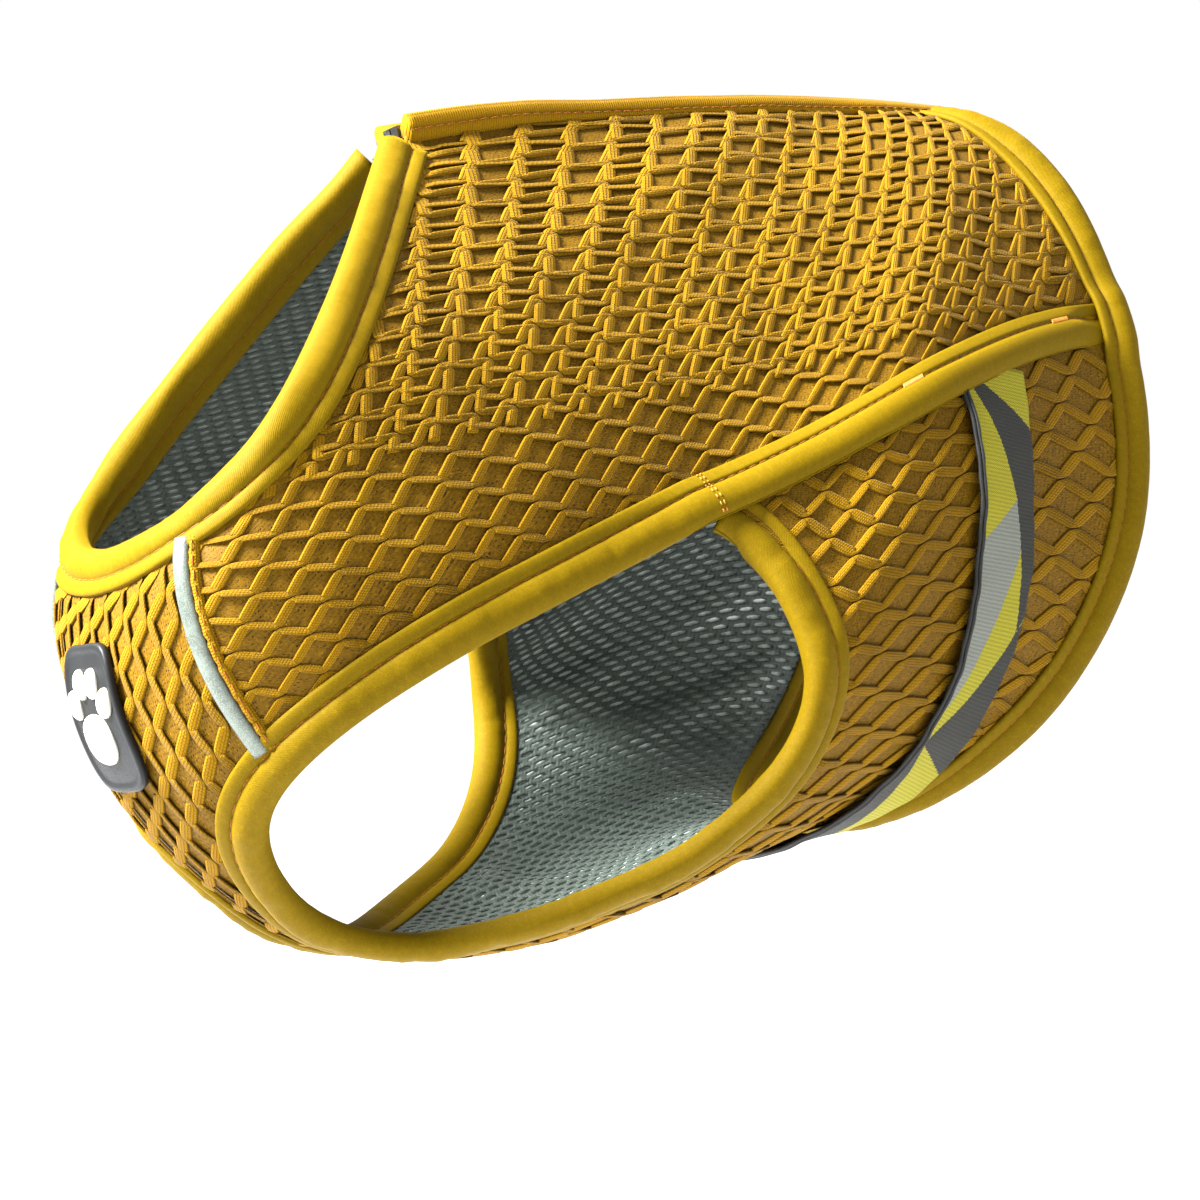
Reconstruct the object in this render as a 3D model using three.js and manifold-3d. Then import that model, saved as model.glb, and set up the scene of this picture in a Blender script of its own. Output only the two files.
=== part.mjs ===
// A mesh cooling vest for a dog with a chest of about 65 cm, in its worn shape.
// Millimetres. +X points to the tail, -Y to the dog's left, +Z up. The origin is the middle of the torso.
//
// The whole garment lies on one skin, skin(s, phi): s runs from the neck edge (0) to the rear hem (1),
// phi runs round the torso from the spine (0) over the left side to the keel (PI).
// Every panel, binding and strap is a patch of that skin with its own depth below or above it.
import * as THREE from "three";
import Module from "manifold-3d";
import { mergeVertices } from "three/addons/utils/BufferGeometryUtils.js";

const wasm = await Module();
wasm.setup();

// ---------------------------------------------------------------- driving dimensions
// Torso: the spine is an arc, the keel (mid line of chest and belly) a spline, as X and Z.
const SPINE_X = [-46, 76, 128, 145];
const SPINE_MIDDLE_X = 49.5;
const SPINE_TOP = 109.7;
const SPINE_RADIUS = 900;
const KEEL_X = [-137, -155, -133, -37, 25, 59];
const KEEL_Z = [5, -20, -90, -123, -88, -97];
const HALF_WIDTH = [39, 49, 61, 82, 106];
const EGG_NECK = -0.72; // how much narrower the torso is at the spine than at the keel
const EGG_HEM = -0.29;
const TAPER = 0.62; // share of the half width that the sides close in by at the hem
const TAPER_START = 0.66; // s where the sides begin to close in
const TAPER_FROM = [-368, 523, -15]; // the sides draw in along lines through this place, beside the shoulder
const TAPER_SOFT = 40; // half width near the spine and the keel that stays round

// Outlines in s and phi, on the left side.
const LEG_HOLE = [
  [0.484, 1.68], [0.44, 1.754], [0.371, 1.907], [0.285, 2.222], [0.257, 2.823], [0.475, 3.072],
  [0.567, 2.658], [0.693, 2.503], [0.709, 2.039], [0.539, 1.699], [0.484, 1.68],
];
const FLANK = [[0.484, 1.68], [0.647, 1.474], [0.81, 1.376], [1, 1.375]]; // leg hole corner to hem
const PIPING_PHI = 2.65; // where the piping leaves the neck edge
const PIPING_END = 0.33; // where it meets the leg hole, as a share of the leg hole's outline
const BRIDGE_SEAM = 0.52; // where the chest panel meets the belly panel, as a share of that outline

// Layers, as heights over the skin.
const MESH = [-2.2, 0];
const CORE = [-3.2, -2.5];
const LINING = [-4.1, -3.5];
const BINDING = [-4.4, 0.6];
const PIPING = [-4.1, 0.8];
const STRAP = [1, 2.4];
const TACK = [0.9, 1.5];
const BADGE = [0.6, 2];
const EMBLEM = [2.3, 3.1];

const BINDING_WIDTH = 12;
const PIPING_WIDTH = 4;
const STRAP_WIDTH = 25;
const STRAP_MIDDLE = [0.805, 0.918]; // s of the strap's middle line, at the flank and at the keel
const SEAM_GAP = 1.7;
const INSIDE_SLACK = 2.5; // how much further than the mesh the core and the lining stay from the zip
const BADGE_SIZE = [36, 26];
const BADGE_S = 0.155;
const TACK_SIZE = [1.4, 9];

// Zip under the spine: it lies in the valley between the back panels, heights and widths about its own arc.
const ZIP_SINK = 2.6;
const ZIP_RADIUS = SPINE_RADIUS - ZIP_SINK;
const ZIP_HALF = 5; // half of the gap between the back panels
const ZIP_X = [-42, 141];
const TEETH = { y: [0.15, 3], out: [-2.1, 0.2] };
const TAPE = { y: [0.15, 3.7], out: [-3.6, -2.4] };
const SLIDER_X = -33;
const SLIDER_LENGTH = 9;
const PULL_LENGTH = 24;
const PULL_AXIS = 2.55; // height of the pull tab's axis over the zip

// ---------------------------------------------------------------- materials
const material = (color, roughness, metalness = 0) =>
  new THREE.MeshStandardMaterial({ color, roughness, metalness });
const meshCloth = material(0xa87d1c, 0.85);
const coreCloth = material(0xb9c2bd, 0.9);
const liningCloth = material(0x6f7c74, 0.6);
const bindingCloth = material(0xb08c14, 0.8);
const reflective = material(0x868f85, 0.45);
const strapWeb = material(0x8f8d50, 0.75);
const tackThread = material(0xc47a30, 0.7);
const blackRubber = material(0x17181a, 0.5);
const whiteRubber = material(0xe6e4da, 0.5);
const zipNylon = material(0x8a6b12, 0.5);
const zipMetal = material(0x33342f, 0.35, 0.9);

// ---------------------------------------------------------------- the skin
// Clamped uniform cubic B-spline through a list of numbers (de Boor).
function spline(values, t) {
  const last = values.length - 1;
  const spans = last - 2;
  const knot = (i) => Math.min(Math.max(i - 3, 0), spans) / spans;
  const span = Math.max(Math.min(Math.floor(t * spans), spans - 1), 0) + 3;
  const d = [0, 1, 2, 3].map((i) => values[span - 3 + i]);
  for (let r = 1; r <= 3; r++) {
    for (let j = 3; j >= r; j--) {
      const low = knot(span - 3 + j);
      const high = knot(span + 1 + j - r);
      const a = (t - low) / (high - low);
      d[j] = (1 - a) * d[j - 1] + a * d[j];
    }
  }
  return d[3];
}

const outline = (points, t) => [
  spline(points.map((p) => p[0]), t),
  spline(points.map((p) => p[1]), t),
];

function spineZ(x) {
  const drop = SPINE_RADIUS - Math.sqrt(SPINE_RADIUS ** 2 - (x - SPINE_MIDDLE_X) ** 2);
  return SPINE_TOP - drop;
}

const egg = (s) => EGG_NECK + (EGG_HEM - EGG_NECK) * s;

function bare(s, phi) {
  const top = new THREE.Vector3(spline(SPINE_X, s), 0, 0);
  top.z = spineZ(top.x);
  const bottom = new THREE.Vector3(spline(KEEL_X, s), 0, spline(KEEL_Z, s));
  const point = bottom.clone().lerp(top, (1 + Math.cos(phi)) / 2);
  point.y = -spline(HALF_WIDTH, s) * Math.sin(phi) * (1 + egg(s) * Math.cos(phi));
  const t = Math.min(Math.max((s - TAPER_START) / (1 - TAPER_START), 0), 1);
  const drawn = TAPER * t * t * (3 - 2 * t) * (Math.hypot(point.y, TAPER_SOFT) - TAPER_SOFT);
  const [fromX, fromY, fromZ] = TAPER_FROM;
  const share = drawn / (fromY - Math.abs(point.y));
  point.x += share * (point.x - fromX);
  point.z += share * (point.z - fromZ);
  point.y -= Math.sign(point.y) * drawn;
  return point;
}

// The two tangents of the skin, per unit of s and of phi.
function tangents(s, phi) {
  const e = 1e-3;
  const s0 = Math.max(s - e, 0);
  const s1 = Math.min(s + e, 1);
  const alongS = bare(s1, phi).sub(bare(s0, phi)).divideScalar(s1 - s0);
  const alongPhi = bare(s, phi + e).sub(bare(s, phi - e)).divideScalar(2 * e);
  return [alongS, alongPhi];
}

function skin(s, phi, out = 0) {
  const [alongS, alongPhi] = tangents(s, phi);
  const normal = alongPhi.cross(alongS).normalize();
  return bare(s, phi).addScaledVector(normal, out);
}

// Moves a place in s and phi by millimetres measured on the skin.
function shift(place, direction, distance) {
  const count = Math.max(Math.ceil(Math.abs(distance) / 2), 1);
  const move = direction.clone().normalize().multiplyScalar(distance / count);
  let [s, phi] = place;
  for (let i = 0; i < count; i++) {
    const [a, b] = tangents(s, phi);
    const aa = a.dot(a);
    const ab = a.dot(b);
    const bb = b.dot(b);
    const det = aa * bb - ab * ab;
    const ma = move.dot(a);
    const mb = move.dot(b);
    s += (ma * bb - mb * ab) / det;
    phi += (mb * aa - ma * ab) / det;
  }
  return [s, phi];
}

// A curve beside another one, at a distance on the skin: to the right of its travel, seen from outside
// the garment, or with side -1 to the left.
function beside(curve, distance, side = 1) {
  return (t) => {
    const e = 2e-3;
    const from = curve(Math.max(t - e, 0));
    const to = curve(Math.min(t + e, 1));
    const travel = bare(...to).sub(bare(...from));
    const place = curve(t);
    const [alongS, alongPhi] = tangents(...place);
    const inward = alongS.clone().cross(alongPhi);
    return shift(place, inward.cross(travel).multiplyScalar(side), distance);
  };
}

// ---------------------------------------------------------------- outlines
const neckEdge = (from, to) => (t) => [0, from + (to - from) * t];
const hemEdge = (from, to) => (t) => [1, from + (to - from) * t];
const legHole = (t) => outline(LEG_HOLE, t);
const flank = (t) => outline(FLANK, t);
const mirrored = (curve) => (t) => {
  const [s, phi] = curve(t);
  return [s, 2 * Math.PI - phi];
};
const part = (curve, from, to) => (t) => curve(from + (to - from) * t);

// Two curves joined end to end; share is where the first one stops.
const joined = (first, second, share) => (t) =>
  t < share ? first(t / share) : second((t - share) / (1 - share));

const zipEdge = (s, gap = 0) => (ZIP_HALF + gap) / (spline(HALF_WIDTH, s) * (1 + egg(s)));
const FLANK_SHARE = 0.35; // share of the edge binding's length that lies on the flank
const LEG_LAST = 0.995; // the leg hole's outline stops just short of its corner
const LEG_REAR = 0.66; // s that the leg hole's rear rim stays before, near its corner

// ---------------------------------------------------------------- solids
// A closed solid between two grids of points: rows x columns, outer face and inner face.
function solidBetween(outer, inner) {
  const rows = outer.length;
  const columns = outer[0].length;
  const positions = [...outer.flat(), ...inner.flat()].flatMap((p) => p.toArray());
  const out = (i, j) => i * columns + j;
  const back = (i, j) => rows * columns + i * columns + j;
  const index = [];
  const quad = (a, b, c, d) => index.push(a, b, c, a, c, d);
  for (let i = 0; i < rows - 1; i++) {
    for (let j = 0; j < columns - 1; j++) {
      quad(out(i, j), out(i, j + 1), out(i + 1, j + 1), out(i + 1, j));
      quad(back(i, j), back(i + 1, j), back(i + 1, j + 1), back(i, j + 1));
    }
  }
  for (let i = 0; i < rows - 1; i++) {
    const last = columns - 1;
    quad(out(i, 0), out(i + 1, 0), back(i + 1, 0), back(i, 0));
    quad(out(i, last), back(i, last), back(i + 1, last), out(i + 1, last));
  }
  for (let j = 0; j < columns - 1; j++) {
    const last = rows - 1;
    quad(out(0, j), back(0, j), back(0, j + 1), out(0, j + 1));
    quad(out(last, j), out(last, j + 1), back(last, j + 1), back(last, j));
  }
  const geometry = new THREE.BufferGeometry();
  geometry.setAttribute("position", new THREE.Float32BufferAttribute(positions, 3));
  geometry.setIndex(index);
  return geometry;
}

const flipped = (grid) => grid.map((row) => row.slice().reverse());

// A solid of one layer over places[i][j], turned so that its faces point outwards.
function layer(places, [low, high]) {
  const at = (out) => places.map((row) => row.map(([s, phi]) => skin(s, phi, out)));
  const outer = at(high);
  const inner = at(low);
  const a = outer[0][1].clone().sub(outer[0][0]);
  const b = outer[1][0].clone().sub(outer[0][0]);
  const facesOut = a.cross(b).dot(outer[0][0].clone().sub(inner[0][0])) > 0;
  return facesOut ? solidBetween(outer, inner) : solidBetween(flipped(outer), flipped(inner));
}

const steps = (count) => Array.from({ length: count + 1 }, (_, i) => i / count);

// Places between four border curves (a Coons patch). near and far run across, left and right run along.
function patch({ near, far, left, right }, along, across) {
  return steps(along).map((u) =>
    steps(across).map((v) =>
      [0, 1].map((k) => {
        const sides = (1 - u) * near(v)[k] + u * far(v)[k] + (1 - v) * left(u)[k] + v * right(u)[k];
        const corners =
          (1 - u) * ((1 - v) * near(0)[k] + v * near(1)[k]) +
          u * ((1 - v) * far(0)[k] + v * far(1)[k]);
        return sides - corners;
      }),
    ),
  );
}

// Places of a ribbon between two curves.
const ribbon = (one, other, along) => steps(along).map((t) => [one(t), other(t)]);

const group = new THREE.Group();
function add(name, geometry, cloth, parent = group) {
  const mesh = new THREE.Mesh(geometry, cloth);
  mesh.name = name;
  parent.add(mesh);
  return mesh;
}

// The same piece on the dog's right side.
function mirrorY(geometry) {
  const other = geometry.clone();
  const position = other.attributes.position;
  for (let i = 0; i < position.count; i++) position.setY(i, -position.getY(i));
  const index = Array.from(other.index.array);
  for (let i = 0; i < index.length; i += 3) {
    [index[i + 1], index[i + 2]] = [index[i + 2], index[i + 1]];
  }
  other.setIndex(index);
  return other;
}

function addPair(name, geometry, cloth) {
  add(name + "_left", geometry, cloth);
  add(name + "_right", mirrorY(geometry), cloth);
}

// ---------------------------------------------------------------- panels
const clear = BINDING_WIDTH + SEAM_GAP;
const PIPING_HALF = PIPING_WIDTH / 2;
const ring = 2 * Math.PI;

const neckInner = beside(neckEdge(0, Math.PI), clear, -1);
const hemInner = beside(hemEdge(0, Math.PI), clear);
const legOuter = beside(legHole, clear);
const flankUpper = beside(flank, clear, -1);
const flankLower = beside(flank, SEAM_GAP);

const pipingTop = beside(neckEdge(0, Math.PI), BINDING_WIDTH + 0.4, -1)(PIPING_PHI / Math.PI);
const pipingBottom = beside(legHole, BINDING_WIDTH + 0.4)(PIPING_END);
const piping = (t) => pipingTop.map((v, k) => v + (pipingBottom[k] - v) * t);

// The share of a curve at which a test turns true.
function crossing(curve, test, from, to) {
  let [low, high] = [from, to];
  for (let i = 0; i < 30; i++) {
    const middle = (low + high) / 2;
    if (test(curve(middle))) high = middle;
    else low = middle;
  }
  return high;
}

// The place where a curve round the torso passes a given phi on the left half.
const atPhi = (curve, phi) => curve(crossing(curve, (place) => place[1] > phi, 0, 1));
const neckRow = (phi) => [atPhi(neckInner, phi > Math.PI ? ring - phi : phi)[0], phi];
const hemRow = (phi) => [atPhi(hemInner, phi > Math.PI ? ring - phi : phi)[0], phi];

// The piping's two sides, from where they leave the neck binding.
function besidePiping(side) {
  const whole = beside(piping, PIPING_HALF + SEAM_GAP, side);
  const start = crossing(whole, ([s, phi]) => s > neckRow(phi)[0], 0, 0.5);
  return part(whole, start, 1);
}
const behindPiping = besidePiping(-1);
const beforePiping = besidePiping(1);

const line = (a, b) => (t) => a.map((v, k) => v + (b[k] - v) * t);

function backPanel() {
  const hemShare = crossing(flankUpper, ([s, phi]) => s > hemRow(phi)[0], 0.5, 1);
  const hemEnd = flankUpper(hemShare);
  const neckTop = neckRow(zipEdge(0))[0];
  const start = [neckTop, zipEdge(neckTop)];
  const hemTop = hemRow(zipEdge(1))[0];
  const end = [hemTop, zipEdge(hemTop)];
  const frontTop = behindPiping(0);
  const frontEnd = behindPiping(1);
  const legTop = crossing(legOuter, ([s, phi]) => phi > frontEnd[1], 0, 0.5);
  const neck = (t) => neckRow(start[1] + (frontTop[1] - start[1]) * t);
  const hem = (t) => hemRow(end[1] + (hemEnd[1] - end[1]) * t);
  const spine = (t) => {
    const s = start[0] + (end[0] - start[0]) * t;
    return [s, zipEdge(s)];
  };
  const legPart = (t) => legOuter(legTop * (1 - t));
  const lower = joined(legPart, (t) => flankUpper(0.02 + (hemShare - 0.02) * t), 0.55);
  const near = joined(neck, behindPiping, 0.7);
  return { near, far: hem, left: spine, right: lower };
}

function chestPanel() {
  const top = beforePiping(0);
  const bottom = beforePiping(1);
  const neck = (t) => neckRow(top[1] + (ring - 2 * top[1]) * t);
  const legStart = crossing(legOuter, ([s, phi]) => phi > bottom[1], 0.2, 0.5);
  const side = joined(beforePiping, part(legOuter, legStart, BRIDGE_SEAM - 0.01), 0.4);
  const seamEnd = side(1);
  const seam = line(seamEnd, [seamEnd[0], ring - seamEnd[1]]);
  return { near: neck, far: seam, left: side, right: mirrored(side) };
}

function bellyPanel() {
  const cornerShare = crossing(legOuter, ([s, phi]) => phi < flankLowerPhi(s), 0.85, 1);
  const front = part(legOuter, cornerShare, BRIDGE_SEAM + 0.01);
  const seamEnd = front(1);
  const seam = line(seamEnd, [seamEnd[0], ring - seamEnd[1]]);
  const half = joined(front, seam, 0.9);
  const near = (t) => (t <= 0.5 ? half(t * 2 * 0.95) : mirrored(half)((1 - t) * 2 * 0.95));
  const hemShare = crossing(flankLower, ([s, phi]) => s > hemRow(phi)[0], 0.5, 1);
  const start = crossing(flankLower, ([s]) => s > front(0)[0], 0, 1);
  const side = part(flankLower, start, hemShare);
  const from = side(1)[1];
  const hem = (t) => hemRow(from + (ring - 2 * from) * t);
  return { near, far: hem, left: side, right: mirrored(side) };
}

// phi of the flank's lower edge at a given s.
function flankLowerPhi(s) {
  return flankLower(crossing(flankLower, (place) => place[0] > s, 0, 1))[1];
}

const backPlaces = patch(backPanel(), 15, 12);
const backInside = backPlaces.map(([[s], ...row]) => [[s, zipEdge(s, INSIDE_SLACK)], ...row]);
const chestPlaces = patch(chestPanel(), 10, 12);
const bellyPlaces = patch(bellyPanel(), 10, 20);
for (const [suffix, depth, cloth] of [
  ["mesh", MESH, meshCloth],
  ["absorbent_core", CORE, coreCloth],
  ["lining", LINING, liningCloth],
]) {
  addPair("back_" + suffix, layer(suffix === "mesh" ? backPlaces : backInside, depth), cloth);
  add("chest_" + suffix, layer(chestPlaces, depth), cloth);
  add("belly_" + suffix, layer(bellyPlaces, depth), cloth);
}

// ---------------------------------------------------------------- bindings, piping, strap, tacks, badge
const zipAtNeck = zipEdge(0.02, 0.5);
const zipAtHem = zipEdge(1, 0.5);
const neckCurve = neckEdge(zipAtNeck, ring - zipAtNeck);
const hemCurve = hemEdge(zipAtHem, ring - zipAtHem);
const neckRibbon = ribbon(neckCurve, beside(neckCurve, BINDING_WIDTH, -1), 44);
const hemRibbon = ribbon(hemCurve, beside(hemCurve, BINDING_WIDTH), 56);
add("neck_binding", layer(neckRibbon, BINDING), bindingCloth);
add("rear_hem_binding", layer(hemRibbon, BINDING), bindingCloth);

function edgeBinding() {
  const hemShare = 1 - crossing(flank, ([s, phi]) => s > hemRow(phi)[0], 0.5, 1);
  const underFlank = ([s, phi]) => s < LEG_REAR && phi < flankLowerPhi(s) + 0.004;
  const legCorner = crossing(beside(legHole, BINDING_WIDTH), underFlank, 0.8, LEG_LAST);
  const inner = joined(part(flank, 1 - hemShare, 0), part(legHole, 0, LEG_LAST), FLANK_SHARE);
  const upper = beside((t) => flank(1 - t), BINDING_WIDTH);
  const outer = joined(part(upper, hemShare, 1), part(beside(legHole, BINDING_WIDTH), 0, legCorner), FLANK_SHARE);
  return ribbon(inner, outer, 70);
}
addPair("edge_binding", layer(edgeBinding(), BINDING), bindingCloth);

const pipingShort = part(piping, 0.01, 0.99);
addPair(
  "reflective_piping",
  layer(ribbon(beside(pipingShort, PIPING_HALF), beside(pipingShort, PIPING_HALF, -1), 10), PIPING),
  reflective,
);

const strapStart = flankLowerPhi(STRAP_MIDDLE[0] - 0.06) + 0.01;
const strapMiddle = (t) => {
  const phi = strapStart + (ring - 2 * strapStart) * t;
  const round = Math.sin((Math.PI * (phi - strapStart)) / (ring - 2 * strapStart));
  return [STRAP_MIDDLE[0] + (STRAP_MIDDLE[1] - STRAP_MIDDLE[0]) * round, phi];
};
const strapEdge = (side) => beside(strapMiddle, STRAP_WIDTH / 2, side);
add("elastic_belly_strap", layer(ribbon(strapEdge(1), strapEdge(-1), 44), STRAP), strapWeb);

// A small rectangle on the skin, centred on a place, its long side across the travel direction.
function plate(place, travel, [length, width], depth, cells = [1, 2]) {
  const [alongS, alongPhi] = tangents(...place);
  const across = alongS.clone().cross(alongPhi).cross(travel);
  const places = steps(cells[0]).map((u) =>
    steps(cells[1]).map((v) => {
      const moved = shift(place, travel, (u - 0.5) * length || 1e-6);
      return shift(moved, across, (v - 0.5) * width || 1e-6);
    }),
  );
  return layer(places, depth);
}

function tackOn(curve, t) {
  const middle = beside(curve, BINDING_WIDTH / 2, -1)(t);
  const travel = bare(...curve(t + 0.01)).sub(bare(...curve(t - 0.01)));
  return plate(middle, travel, TACK_SIZE, TACK);
}
for (const [name, t] of [["leg_tack", 0.03], ["strap_tack", 0.42], ["hem_tack", 0.86]]) {
  addPair(name, tackOn(flank, t), tackThread);
}

const keelTravel = bare(BADGE_S + 0.01, Math.PI).sub(bare(BADGE_S - 0.01, Math.PI));
add("chest_badge", plate([BADGE_S, Math.PI], keelTravel, BADGE_SIZE, BADGE, [5, 4]), blackRubber);
const emblemSize = BADGE_SIZE.map((size) => size * 0.6);
add("badge_emblem", plate([BADGE_S, Math.PI], keelTravel, emblemSize, EMBLEM, [5, 4]), whiteRubber);

// ---------------------------------------------------------------- zip
// A bar bent to the zip's arc between two X, as wide and as high as given.
function arcBar([x0, x1], [y0, y1], [low, high], count) {
  const ringAt = (out) => {
    const r = ZIP_RADIUS + out;
    return steps(count).map((t) => {
      const angle = (x0 + (x1 - x0) * t - SPINE_MIDDLE_X) / SPINE_RADIUS;
      const x = SPINE_MIDDLE_X + r * Math.sin(angle);
      const z = SPINE_TOP - SPINE_RADIUS + r * Math.cos(angle);
      return [new THREE.Vector3(x, y0, z), new THREE.Vector3(x, y1, z)];
    });
  };
  return solidBetween(flipped(ringAt(high)), flipped(ringAt(low)));
}

const negative = ([a, b]) => [-b, -a];
const STOP = { x: [ZIP_X[0] - 3, ZIP_X[0] - 0.4], y: [0.3, 3.4], out: [-2.1, 0.8] };
const PIN = { y: [-3.6, -0.2], out: [-2.1, 0.6] };
const RETAINER = { y: [0.2, 3.9], out: [-2.1, 1.1] };
const BOX_X = [ZIP_X[1] - 7, ZIP_X[1]];
const teethX = [ZIP_X[0], BOX_X[0] - 0.4];
for (const [side, turn] of [["left", negative], ["right", (y) => y]]) {
  add("zip_tape_" + side, arcBar(ZIP_X, turn(TAPE.y), TAPE.out, 12), zipNylon);
  add("zip_teeth_" + side, arcBar(teethX, turn(TEETH.y), TEETH.out, 12), zipNylon);
  add("zip_top_stop_" + side, arcBar(STOP.x, turn(STOP.y), STOP.out, 1), zipMetal);
}
add("zip_insertion_pin", arcBar(BOX_X, PIN.y, PIN.out, 1), zipMetal);
add("zip_retaining_box", arcBar(BOX_X, RETAINER.y, RETAINER.out, 1), zipMetal);

// Manifold solids for the slider's joins and cuts.
function manifold(geometry) {
  const g = geometry.clone();
  for (const name of ["normal", "uv"]) g.deleteAttribute(name);
  const merged = mergeVertices(g, 1e-4);
  return new wasm.Manifold(
    new wasm.Mesh({
      numProp: 3,
      vertProperties: new Float32Array(merged.attributes.position.array),
      triVerts: new Uint32Array(merged.index.array),
    }),
  );
}

function fromManifold(solid) {
  const m = solid.getMesh();
  const geometry = new THREE.BufferGeometry();
  geometry.setAttribute("position", new THREE.BufferAttribute(new Float32Array(m.vertProperties), 3));
  geometry.setIndex(Array.from(m.triVerts));
  return geometry;
}

const box = (x, y, z) => {
  const g = new THREE.BoxGeometry(x[1] - x[0], y[1] - y[0], z[1] - z[0]);
  return g.translate((x[0] + x[1]) / 2, (y[0] + y[1]) / 2, (z[0] + z[1]) / 2);
};

// A flat outline in X and Z, thickened along Y about the middle.
function slab(shape, thickness, segments = 6) {
  const options = { depth: thickness, bevelEnabled: false, curveSegments: segments };
  const g = new THREE.ExtrudeGeometry(shape, options);
  return g.translate(0, 0, -thickness / 2).rotateX(Math.PI / 2);
}

function sliderBody() {
  const half = SLIDER_LENGTH / 2;
  const shell = manifold(box([-half, half], [-3.75, 3.75], [-2, 1.7]));
  const groove = manifold(box([-half - 1, half + 1], [-3.2, 3.2], [-3, 0.5]));
  const loop = new THREE.Shape();
  loop.moveTo(-3.2, 1.4);
  loop.lineTo(-3.2, 3);
  loop.quadraticCurveTo(-3.2, 4, -2.2, 4);
  loop.lineTo(2.2, 4);
  loop.quadraticCurveTo(3.2, 4, 3.2, 3);
  loop.lineTo(3.2, 1.4);
  loop.closePath();
  const window = manifold(box([-2, 2], [-2, 2], [1.7, 3.4]));
  return fromManifold(shell.subtract(groove).add(manifold(slab(loop, 1.6))).subtract(window));
}

function pullTab() {
  const half = 3;
  const shape = new THREE.Shape();
  shape.moveTo(-0.55, -half);
  shape.lineTo(PULL_LENGTH - half, -half);
  shape.absarc(PULL_LENGTH - half, 0, half, -Math.PI / 2, Math.PI / 2, false);
  shape.lineTo(-0.55, half);
  shape.closePath();
  const slot = new THREE.Path();
  slot.moveTo(0.55, -1.4);
  slot.lineTo(0.55, 1.4);
  slot.lineTo(4.1, 1.4);
  slot.lineTo(4.1, -1.4);
  slot.closePath();
  shape.holes.push(slot);
  const g = new THREE.ExtrudeGeometry(shape, { depth: 1.1, bevelEnabled: false, curveSegments: 8 });
  return g.translate(0, 0, -0.55);
}

const slider = new THREE.Group();
const sliderAngle = (SLIDER_X - SPINE_MIDDLE_X) / SPINE_RADIUS;
slider.position.x = SPINE_MIDDLE_X + ZIP_RADIUS * Math.sin(sliderAngle);
slider.position.z = SPINE_TOP - SPINE_RADIUS + ZIP_RADIUS * Math.cos(sliderAngle);
slider.rotation.y = sliderAngle;
group.add(slider);
add("zip_slider", sliderBody(), zipMetal, slider);
add("zip_pull_tab", pullTab(), zipMetal, slider).position.z = PULL_AXIS;

export default group;
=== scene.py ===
"""A mesh cooling vest for a dog, in its worn shape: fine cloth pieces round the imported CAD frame.

The garment lies on one skin, the same as the CAD's. A place on it is s, from the neck edge (0) to the rear hem (1),
and phi, from the spine (0) over the dog's left side to the keel (pi). Lengths are in millimetres until a mesh is
made.
"""
import math

import bpy
import numpy as np
from mathutils import Matrix, Vector


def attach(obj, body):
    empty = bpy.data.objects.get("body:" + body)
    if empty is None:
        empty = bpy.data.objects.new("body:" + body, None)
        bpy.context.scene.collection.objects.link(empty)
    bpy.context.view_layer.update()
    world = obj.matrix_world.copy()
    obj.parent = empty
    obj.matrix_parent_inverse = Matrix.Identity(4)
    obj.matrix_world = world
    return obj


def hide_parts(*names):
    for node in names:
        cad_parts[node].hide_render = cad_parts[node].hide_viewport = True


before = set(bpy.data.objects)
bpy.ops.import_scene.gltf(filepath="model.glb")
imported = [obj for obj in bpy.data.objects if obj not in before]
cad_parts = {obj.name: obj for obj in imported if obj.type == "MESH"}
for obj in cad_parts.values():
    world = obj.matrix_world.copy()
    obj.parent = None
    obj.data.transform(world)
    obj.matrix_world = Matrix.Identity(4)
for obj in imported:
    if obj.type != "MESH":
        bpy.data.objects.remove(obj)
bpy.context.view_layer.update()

MM = 0.001
PI = math.pi
RING = 2 * PI

# ---------------------------------------------------------------- the CAD's driving dimensions
SPINE_X = (-46, 76, 128, 145)
SPINE_MIDDLE_X = 49.5
SPINE_TOP = 109.7
SPINE_RADIUS = 900
KEEL_X = (-137, -155, -133, -37, 25, 59)
KEEL_Z = (5, -20, -90, -123, -88, -97)
HALF_WIDTH = (39, 49, 61, 82, 106)
EGG_NECK = -0.72
EGG_HEM = -0.29
TAPER = 0.62
TAPER_START = 0.66
TAPER_FROM = (-368, 523, -15)
TAPER_SOFT = 40
LEG_HOLE = (
    (0.484, 1.68), (0.44, 1.754), (0.371, 1.907), (0.285, 2.222), (0.257, 2.823), (0.475, 3.072),
    (0.567, 2.658), (0.693, 2.503), (0.709, 2.039), (0.539, 1.699), (0.484, 1.68),
)
FLANK = ((0.484, 1.68), (0.647, 1.474), (0.81, 1.376), (1, 1.375))
PIPING_PHI = 2.65
PIPING_END = 0.33
BRIDGE_SEAM = 0.52
BINDING_WIDTH = 12
PIPING_HALF = 2
STRAP_WIDTH = 25
STRAP_MIDDLE = (0.805, 0.918)
BADGE_S = 0.155
BADGE_SIZE = (36, 26)
ZIP_HALF = 5
ZIP_X = (-42, 134)
ZIP_SINK = 2.6


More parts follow.
